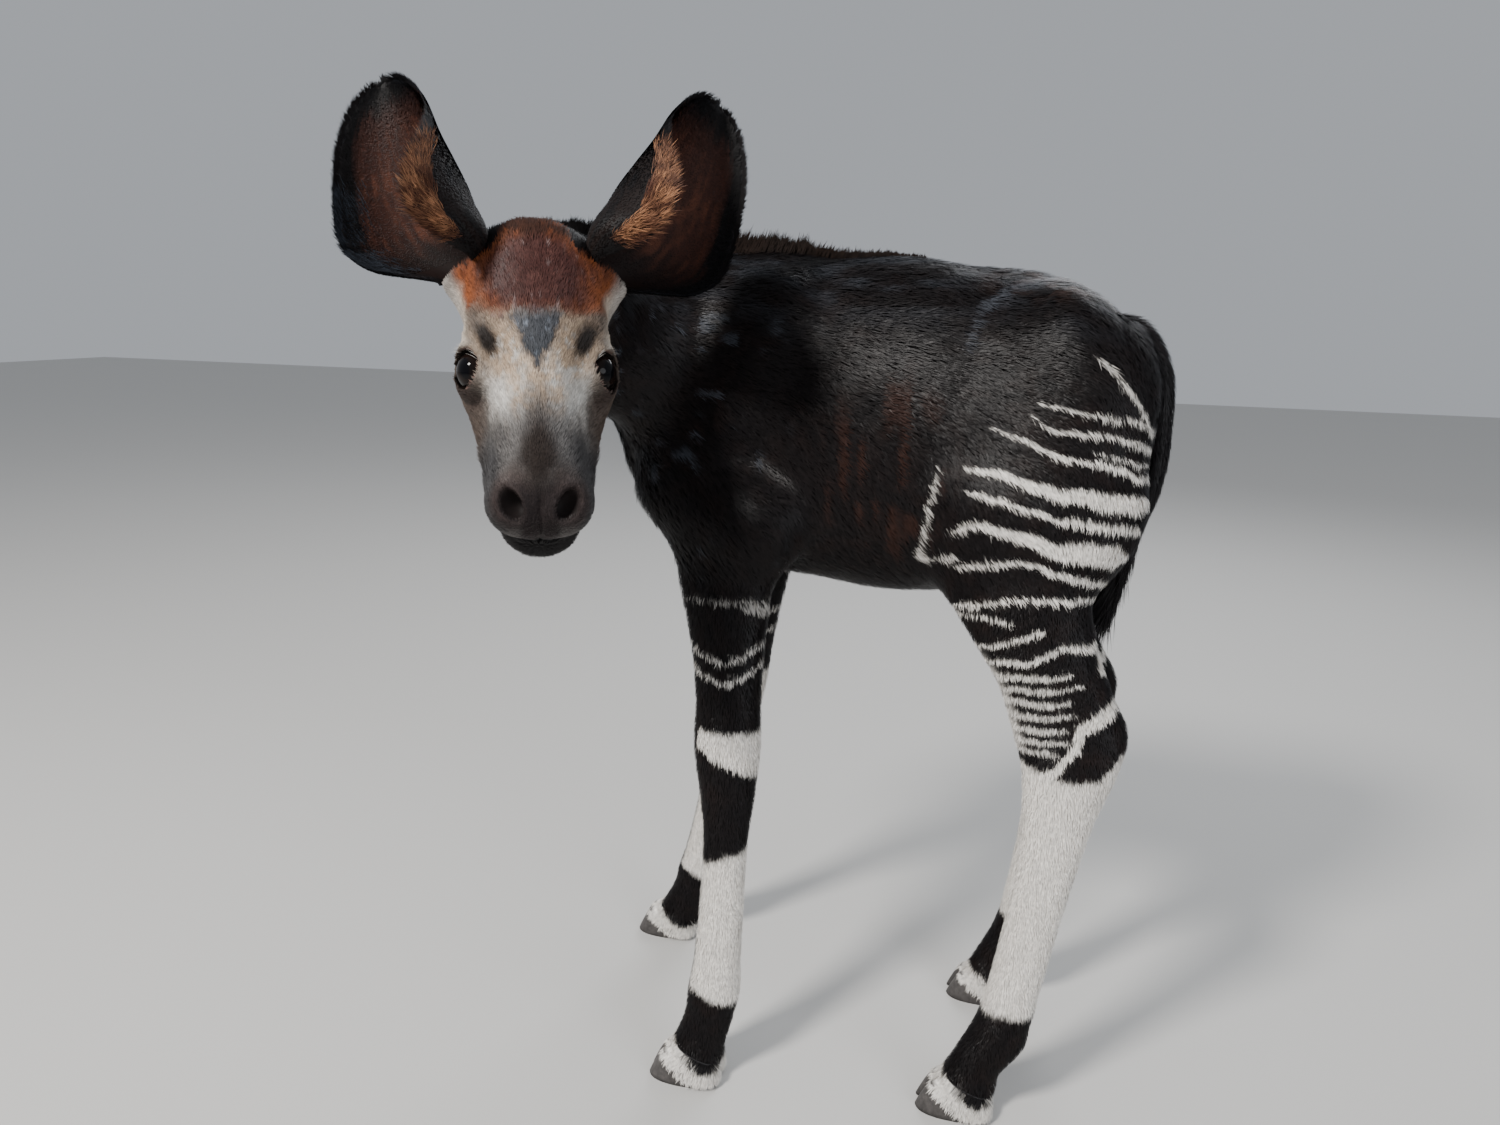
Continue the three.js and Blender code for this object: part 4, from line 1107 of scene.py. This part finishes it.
def grow_coat():
    tris = np.concatenate([skin_quads[:, [0, 1, 2]], skin_quads[:, [0, 2, 3]]])
    a, b, c = (skin_points[tris[:, k]] for k in range(3))
    area = norm(np.cross(b - a, c - a)) / 2
    middle = (a + b + c) / 3
    parts_here = part_of(middle)
    for part in sorted(set(parts_here)):
        mine = parts_here == part
        kind = {"face": "head", "neck": "neck", "body": "trunk"}.get(part[:4], "leg")
        weight = area[mine] * crowding(middle[mine], kind, part)
        root, normal = scattered(tris[mine], weight, TUFTS_PER_MM2[kind])
        lie = square_to(normal, lie_of_coat(root, kind))
        length, width, height = tuft_shape(root, kind, part)
        colour = markings(root + lie * (0.4 * length)[:, None])
        material = face_hair if kind == "head" else coat
        slot = {"head": "face_coat", "leg": "leg_coat"}.get(kind, "coat")
        uv = unwrap(root, part)
        tuft_piece("coat_" + part, root, normal, lie, length, width, height, colour, uv, material, slot)


# Ears: thin cups, black behind, red-brown inside, with long pale hair along the inner edge
CUP_BACK = 16
EAR_SKIN, EAR_LINING = 0.8, 3.4


def ear_points(side, t, turn, inset):
    """Points of the cup: t from foot to tip, turn from -1 at the outer edge to 1 at the inner one."""
    axis, opens, across, length = ear_frame(side)
    half, outer, inner, bow = (through(EAR_RINGS, k, t) for k in (1, 2, 3, 4))
    radius = half * EAR_WIDTH / np.sin(np.radians(outer))
    centre = EAR_FOOT + t[:, None] * length * axis + (radius - CUP_BACK)[:, None] * opens
    centre = centre + (-bow - EAR_SET * np.minimum(1, t * 4))[:, None] * across
    r = np.maximum(radius - inset, 1)[:, None]
    a = np.radians(np.where(turn < 0, outer, inner) * turn)[:, None]
    local = centre + across * r * np.sin(a) - opens * r * np.cos(a)
    local[:, 2] *= -1 if side == "left" else 1
    return from_head(local)


def ear_normals(side, t, turn, inset, step=0.004):
    """Outward normal of the cup, the way to its tip and the way round it."""
    along = ear_points(side, t + step, turn, inset) - ear_points(side, t - step, turn, inset)
    round_ = ear_points(side, t, turn + step, inset) - ear_points(side, t, turn - step, inset)
    n = unit(np.cross(along, round_))
    return (n if side == "left" else -n), unit(along), unit(round_)


def ear_paint(t, turn, inner):
    n = noise(stacked(t * 60, turn * 130, 0), 6, 41)
    if not inner:
        return layered(
            plain(BLACK, len(t)),
            ((0.030, 0.034, 0.042), 0.55 * smooth(n, 0.4, 0.8) * (turn < -0.1)),
            (DARK, 0.5 * smooth(n, 0.2, 0.7) * (1 - t)),
        )
    ragged = (n - 0.5) * 0.1
    return layered(
        plain((0.048, 0.018, 0.013), len(t)),
        ((0.115, 0.040, 0.023), smooth(n, 0.35, 0.9) * (1 - smooth(t, 0.5, 0.95))),
        ((0.014, 0.007, 0.006), 1 - smooth(t + ragged, 0.12, 0.36)),
        (BLACK, smooth(ragged * 3 - turn, 0.66, 0.86)),
        (BLACK, smooth(t + ragged, 0.80, 0.94)),
    )


def crossed(a, b):
    """Every pair of values of a and b, as two flat arrays."""
    return (v.ravel() for v in np.meshgrid(a, b, indexing="ij"))


def make_ear(side):
    rows, count = ((72, 56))
    t, turn = crossed(np.linspace(-0.02, 0.995, rows), np.linspace(-1, 1, count))
    thick = 1.2 + 1.6 * (1 - np.abs(turn) ** 6) * (1 - smooth(t, 0.7, 1))
    points = [ear_points(side, t, turn, EAR_SKIN), ear_points(side, t, turn * 0.985, EAR_SKIN + thick)]
    colours = np.concatenate([ear_paint(t, turn, False), ear_paint(t, turn, True)])
    whole = rows * count
    outer_edge = np.arange(rows) * count
    inner_edge, tip = outer_edge + count - 1, np.arange(whole - count, whole)
    back = sheet(rows, count, False)
    faces = [back, back[:, ::-1] + whole]
    for line in (outer_edge, inner_edge[::-1], tip):
        a, b = line[:-1], line[1:]
        faces.append(stacked(a, b, b + whole, a + whole))
    if side == "left":
        faces = [f[:, ::-1] for f in faces]
    # The ear's skin is darkened to 0.7 of its colours as painted shade under its hair.
    points, colours = np.concatenate(points), colours * 0.7
    mesh_piece("ear_skin_" + side, points, faces, colours, hide, ["ear_" + side])
    ear_coat(side)


def ear_coat(side):
    tufts = []

    def add(count, inner, t, turn, length, width, height, lift, colour=None, lean=0.0):
        inset = EAR_LINING if inner else EAR_SKIN
        n, along, round_ = ear_normals(side, t, turn, inset)
        sizes = [np.broadcast_to(v, count) for v in (length, width, height)]
        colour = ear_paint(t, turn, inner) if colour is None else colour
        uv = stacked(0.26 + turn * 0.22 + 0.48 * inner, 0.02 + t * 0.95)
        lift = np.broadcast_to(lift, count)[:, None]
        root = ear_points(side, t, turn, inset)
        tufts.append([root, -n if inner else n, unit(along + round_ * lean), *sizes, colour, uv, lift])

    n = int(17500 * DENSITY)  # short coat outside
    turn = np.where(rng.random(n) < 0.56, rng.uniform(0, 1, n), rng.uniform(-1, 0, n))
    add(n, False, rng.uniform(0.0, 0.99, n), turn, 8.0, 1.1, 1.5, 0.06)
    n = int(13500 * DENSITY)  # short coat inside
    lean = rng.normal(-0.15, 0.35, (n, 1))
    add(n, True, rng.uniform(0.08, 0.98, n), rng.uniform(-0.98, 0.98, n), 8.0, 0.85, 1.2, 0.08, None, lean)
    n = int(3600 * DENSITY)  # black fringe of the rim
    edge = np.where(rng.random(n) < 0.5, -1, 1) * rng.uniform(0.94, 1.0, n)
    black, lean = plain(BLACK, n) * 1.2, (np.sign(edge) * 0.9)[:, None]
    add(n, False, rng.uniform(0.05, 0.99, n), edge, 8.5, 0.8, 1.2, 0.1, black, lean)
    n = int(4600 * DENSITY)  # long pale hair beside the inner edge
    t = 0.10 + 0.50 * rng.beta(1.5, 2.0, n)
    turn = rng.uniform(0.84, 0.99, n)
    far = rng.random(n)
    clump = smooth(noise(stacked(t * 160, turn * 90, 0), 5, 43), 0.2, 0.8)
    pale = over((0.060, 0.022, 0.014), (0.46, 0.22, 0.11), (far * (0.3 + 0.7 * clump)) ** 2.2)
    length = (6 + 13 * far) * (1 - 0.5 * t)
    add(n, True, t, turn, length, 0.55, 1.8, rng.uniform(0.05, 0.30, n), pale, rng.uniform(0.0, 1.2, (n, 1)))
    if side == "right":
        n = int(1500 * DENSITY)  # longer bluish hair on the lower outer edge
        turn = -1.0 + 0.55 * rng.beta(1.2, 2.4, n)
        slate = np.array((0.035, 0.042, 0.055)) * rng.uniform(0.2, 1.2, (n, 1))
        add(n, False, 0.06 + 0.5 * rng.beta(1.6, 1.8, n), turn, 15, 0.9, 2.0, 0.12, slate, -0.5)
    *tufts, lift = (np.concatenate(values) for values in zip(*tufts))
    tuft_piece("ear_hair_" + side, *tufts, ear_hair, "ear_coat", lift)


# Eyes: dark, wet globes with a wide level pupil
def globe(lat, lon):
    """Points and colours of the eye, lat from its front to its back."""
    out = np.sin(lat)
    r = EYE_RADIUS + 0.7 * hill(lat, 0.55) - 0.5
    a, b = out * np.cos(lon), out * np.sin(lon)
    local = EYE_AT + r[:, None] * (stacked(a, b, np.cos(lat)) @ EYE_AXES)
    colour = layered(
        plain((0.0065, 0.0045, 0.004), len(lat)),
        ((0.009, 0.005, 0.004), smooth(out, 0.3, 0.55) * (1 - smooth(out, 0.60, 0.72))),
        ((0.002, 0.002, 0.003), (1 - smooth(np.hypot(a / 0.50, b / 0.30), 0.8, 1.1)) * (lat < 1.5)),
        ((0.030, 0.016, 0.013), smooth(out, 0.84, 0.94) * (lat < 1.6)),
    )
    return local, colour


def make_eye(side):
    rings, spokes = ((40, 64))
    lat, lon = crossed(np.linspace(0, np.pi, rings + 1)[1:-1], np.arange(spokes) * FULL_TURN / spokes)
    local, colour = globe(np.append(lat, [1e-4, np.pi - 1e-4]), np.append(lon, [0, 0]))
    faces = capped(rings - 1, spokes)
    if side == "left":
        local[:, 2] *= -1
    else:
        faces = [f[:, ::-1] for f in faces]
    mesh_piece("eye_globe_" + side, from_head(local), faces, colour, wet_eye, ["eye_" + side])
    lashes(side)


def lashes(side, n=28):
    a = rng.uniform(np.radians(95), np.radians(200), n)[:, None]
    out = unit(EYE_LOOKS * 12 + EYE_LONG * 14.6 * np.cos(a) + EYE_HIGH * 11.8 * np.sin(a))
    root = EYE_AT + out * (LID_RADIUS - 0.6)
    way = unit(out * 0.5 + np.array([-0.45, 0.1, 0.75]) + rng.normal(0, 0.10, (n, 3)))
    mirror = [1, 1, -1 if side == "left" else 1]
    root, out, way = from_head(root * mirror), out * mirror @ HEAD, way * mirror @ HEAD
    pale = plain((0.55, 0.52, 0.48), n) * rng.uniform(0.5, 1.1, (n, 1))
    uv = stacked(0.1 + 0.8 * np.arange(n) / n, 0.5)
    width = 0.34 / BREADTH
    tuft_piece("lashes_" + side, root, out, way, 11.0, width, 2.0, pale, uv, face_hair, "face_coat", 0.2)


# Hooves: two claws under each leg
CLAW_OUTLINE = np.array([(32, -6), (29, 3), (20, 9), (5, 12), (-14, 12), (-27, 8), (-30, -4), (-22, -10.5),
                         (6, -10.5), (25, -9.5)], float)
CLAW_RINGS = np.array([(0, 0, 1, 1), (12, 6, 0.95, 0.98), (29, 15, 0.82, 0.88)], float)
CLAW_APART = 11.6
CLAW_TOP = 31.5
CLAW_TUFTS = 4800


def spline(a, b, c, d, f):
    """Between b and c on a smooth curve through the four points."""
    return 0.5 * (2 * b + (c - a) * f + (2 * a - 5 * b + 4 * c - d) * f**2 + (3 * b - a - 3 * c + d) * f**3)


def ring_through(points, steps):
    """A closed smooth curve through the points."""
    t = np.arange(len(points) * steps) / steps
    i = t.astype(int)
    return spline(*(points[(i + k) % len(points)] for k in (-1, 0, 1, 2)), (t - i)[:, None])


def claw_rows(foot, out):
    """Rings of a claw from sole to top, which is drawn in under the skin of the foot."""
    outline = ring_through(CLAW_OUTLINE, 6)
    rows = []
    for height in np.linspace(0, CLAW_TOP, 12):
        back, along, wide = (np.interp(height, CLAW_RINGS[:, 0], CLAW_RINGS[:, k]) for k in (1, 2, 3))
        draw, edge = 1 - 0.3 * smooth(height, 18, CLAW_TOP), hill(height, 1.5)
        forward = outline[:, 0] * along * draw - back
        lift = height / HOOF_HEIGHT * CORONET_FALL * (forward + CORONET_MIDDLE)
        y = foot[1] + out * (CLAW_APART + outline[:, 1] * wide * draw * (1 - edge * 0.018))
        rows.append(stacked(foot[0] - forward * (1 - edge * 0.006), y, height + lift))
    return np.array(rows), outline


def claw_paint(points, name):
    """Grey horn, with the colours of the hair above it."""
    above = points[:, 2] - horn_line(points, name)
    colour = over(plain((0.050, 0.045, 0.043), len(points)), (0.095, 0.088, 0.084), points[:, 2] / 34)
    colour = colour * (0.75 + 0.5 * noise(points * [1, 1, 3], 5, 51))[:, None]
    return layered(colour, (WHITE, smooth(above, 0, 3)), (BLACK, smooth(above, 13, 17)))


def claw_hair(rows, outline, out, name):
    """Roots, normals, nearness to the heel and unwrap of the hair over a claw."""
    count, n = len(outline), int(CLAW_TUFTS * DENSITY)
    pick = rng.integers(0, count, n)
    level = rng.uniform(0.02, 1.0, n)
    row = np.clip((level * (len(rows) - 1)).astype(int), 0, len(rows) - 2)
    blend = (level * (len(rows) - 1) - row)[:, None]
    root = rows[row, pick] * (1 - blend) + rows[row + 1, pick] * blend
    keep = root[:, 2] > horn_line(root, name) + 1 + rng.normal(0, 1.0, n)
    ring_way = rows[row, (pick + 1) % count] - rows[row, pick - 1]
    rise = 0.35 + 0.55 * smooth(root[:, 2], 16, 24)
    normal = unit(unit(np.cross(ring_way, AXIS_Z) * -out) + rise[:, None] * AXIS_Z)
    heel = smooth(-outline[pick, 0], -22, 14)
    return [a[keep] for a in (root, normal, heel, stacked(pick / count, level))]


def make_hooves(name):
    side, foot = LEGS[name][1], foot_of(name)
    hair = []
    for label, out in (("outer", side), ("inner", -side)):
        rows, outline = claw_rows(foot, out)
        points = np.concatenate([*rows, rows[:1].mean(1), rows[-1:].mean(1)])
        faces = [f[:, ::out] for f in capped(len(rows), len(outline))]
        claw, replaced = f"claw_{name}_{label}", [f"hoof_{name}_{label}"]
        mesh_piece(claw, points, faces, claw_paint(points, name), horn, replaced, flat_ends=True)
        hair.append(claw_hair(rows, outline, out, name))
    root, normal, heel, uv = (np.concatenate(a) for a in zip(*hair))
    lie = np.array([-0.25, 0, -1.0]) + rng.normal(0, 0.12, (len(root), 3))
    length, height = np.minimum(8.5 + 2 * heel, root[:, 2] * 0.8), 1.1 + 0.8 * heel
    band = coronet_band(root - AXIS_Z * 2.5, name, 0.6 * noise(root, 3, 53) - 0.3)
    colour, uv = over(plain(BLACK, len(root)), WHITE, band), uv * 0.9 + 0.05
    tuft_piece("coronet_" + name, root, normal, lie, length, 1.15, height, colour, uv, coat, "leg_coat")


# Tail: a round switch ending in a black tuft
def curve(points, at):
    """A smooth curve through the points, at from 0 to 1."""
    n = len(points) - 1
    t = np.clip(at, 0, 1) * n
    i = np.minimum(t.astype(int), n - 1)
    a, b, c, d = (points[np.clip(i + k, 0, n)] for k in (-1, 0, 1, 2))
    a = np.where((i == 0)[:, None], 2 * b - c, a)
    d = np.where((i == n - 1)[:, None], 2 * c - b, d)
    return spline(a, b, c, d, (t - i)[:, None])


def direction(points, at):
    return unit(curve(points, at + 0.01) - curve(points, at - 0.01))


def tail_tube(t, turn, inset):
    """Points round the tail, their outward normals and the way to its end."""
    along = direction(TAIL, t)
    side = unit(np.cross(along, AXIS_Y))
    out = side * np.cos(turn)[:, None] + AXIS_Y * np.sin(turn)[:, None]
    return curve(TAIL, t) + out * (TAIL_RADIUS * (1.35 - 0.6 * t) - inset)[:, None], out, along


def make_tail():
    rows, spokes = ((60, 28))
    points = tail_tube(*crossed(np.linspace(0, 1, rows), np.arange(spokes) * FULL_TURN / spokes), 2.2)[0]
    faces = sheet(rows, spokes, True)[:, [0, 3, 2, 1]]
    mesh_piece("tail_skin", points, [faces], body_coat(points), coat, ["tail"])
    n, m = int(9000 * DENSITY), int(4200 * DENSITY)  # tufts on the dock and in the switch
    t, turn = rng.uniform(0, 1, n), rng.uniform(0, FULL_TURN, n)
    t_end, turn_end = rng.uniform(0.78, 1, m), rng.uniform(0, FULL_TURN, m)
    t, turn = np.append(t, t_end), np.append(turn, turn_end)
    root, out, lie = tail_tube(t, turn, np.repeat([2.2, 2.4], [n, m]))
    lie[n:] = unit(lie[n:] + out[n:] * 0.12 + rng.normal(0, 0.05, (m, 3)))
    length = np.append(np.full(n, 15.0), rng.uniform(30, 58, m) * (0.6 + 0.4 * t_end))
    height = np.repeat([2.6, 5.0], [n, m])
    colour = plain(BLACK, n + m) * rng.uniform(0.8, 2.2, (n + m, 1))
    uv = stacked(turn / FULL_TURN, 0.02 + 0.9 * t)
    tuft_piece("tail_hair", root, out, lie, length, 1.2, height, colour, uv, coat, "coat")


# Mane: short upright hair from the poll to the shoulders
def make_mane():
    n = int(11000 * DENSITY)
    t = rng.beta(1.1, 1.5, n)
    line, along = curve(MANE, t), direction(MANE, t)
    side = np.cross(along, AXIS_Z)
    at = line + side * rng.normal(0, 1, n).clip(-2, 2)[:, None] * (2.6 + 1.2 * t)[:, None]
    at[:, 2] = 840
    for _ in range(40):
        at[:, 2] -= np.clip(skin_field(at), -2, 30) * 0.75
    fade = smooth(1 - t, 0, 0.45) * (0.35 + 0.65 * smooth(t, 0.12, 0.4))
    length = (14 + 13 * noise(at, 4, 61)) * (0.25 + 0.75 * fade) * rng.uniform(0.7, 1.1, n)
    up = unit(AXIS_Z + along * 0.42 + side * rng.normal(0, 0.16, (n, 1)))
    colour = over((0.010, 0.007, 0.006), (0.045, 0.023, 0.014), noise(at, 10, 62) * 0.25)
    uv = stacked(0.5 + ((at - line) * side).sum(1) / 60, 0.02 + t * 0.95)
    tuft_piece("mane", at, side, up, length, 1.1, 0.4, colour, uv, coat, "coat", 0.0, 0.0)


camera()
studio()
coat = coat_material("damp coat", 0.42, 0.01, 0.15, 0.0004, 0.16)
face_hair = coat_material("face hair", 0.5, 0.01, 0.18, 0.0004, 0.2, (0.9, 0.88, 0.85, 1))
ear_hair = coat_material("ear hair", 0.6, 0.03, 0.18, 0.0005)
horn = coat_material("horn", 0.5, 0.0, 0.4, 0.0005, 0.3)
hide = coat_material("hide", 0.65, 0.0, 0.12, 0.0002, 0.12)
wet_eye = eye_material()
skin_colour = markings(skin_points)
covered = ["torso", "neck", "head", *("leg_" + name for name in LEGS)]
# The skin under the coat takes the same painted shade as the hair roots.
mesh_piece("skin", skin_points, [skin_quads], skin_colour * coat_root_shade(skin_colour), hide, covered)
grow_coat()
for side in EARS:
    make_ear(side)
    make_eye(side)
for name in LEGS:
    make_hooves(name)
make_tail()
make_mane()
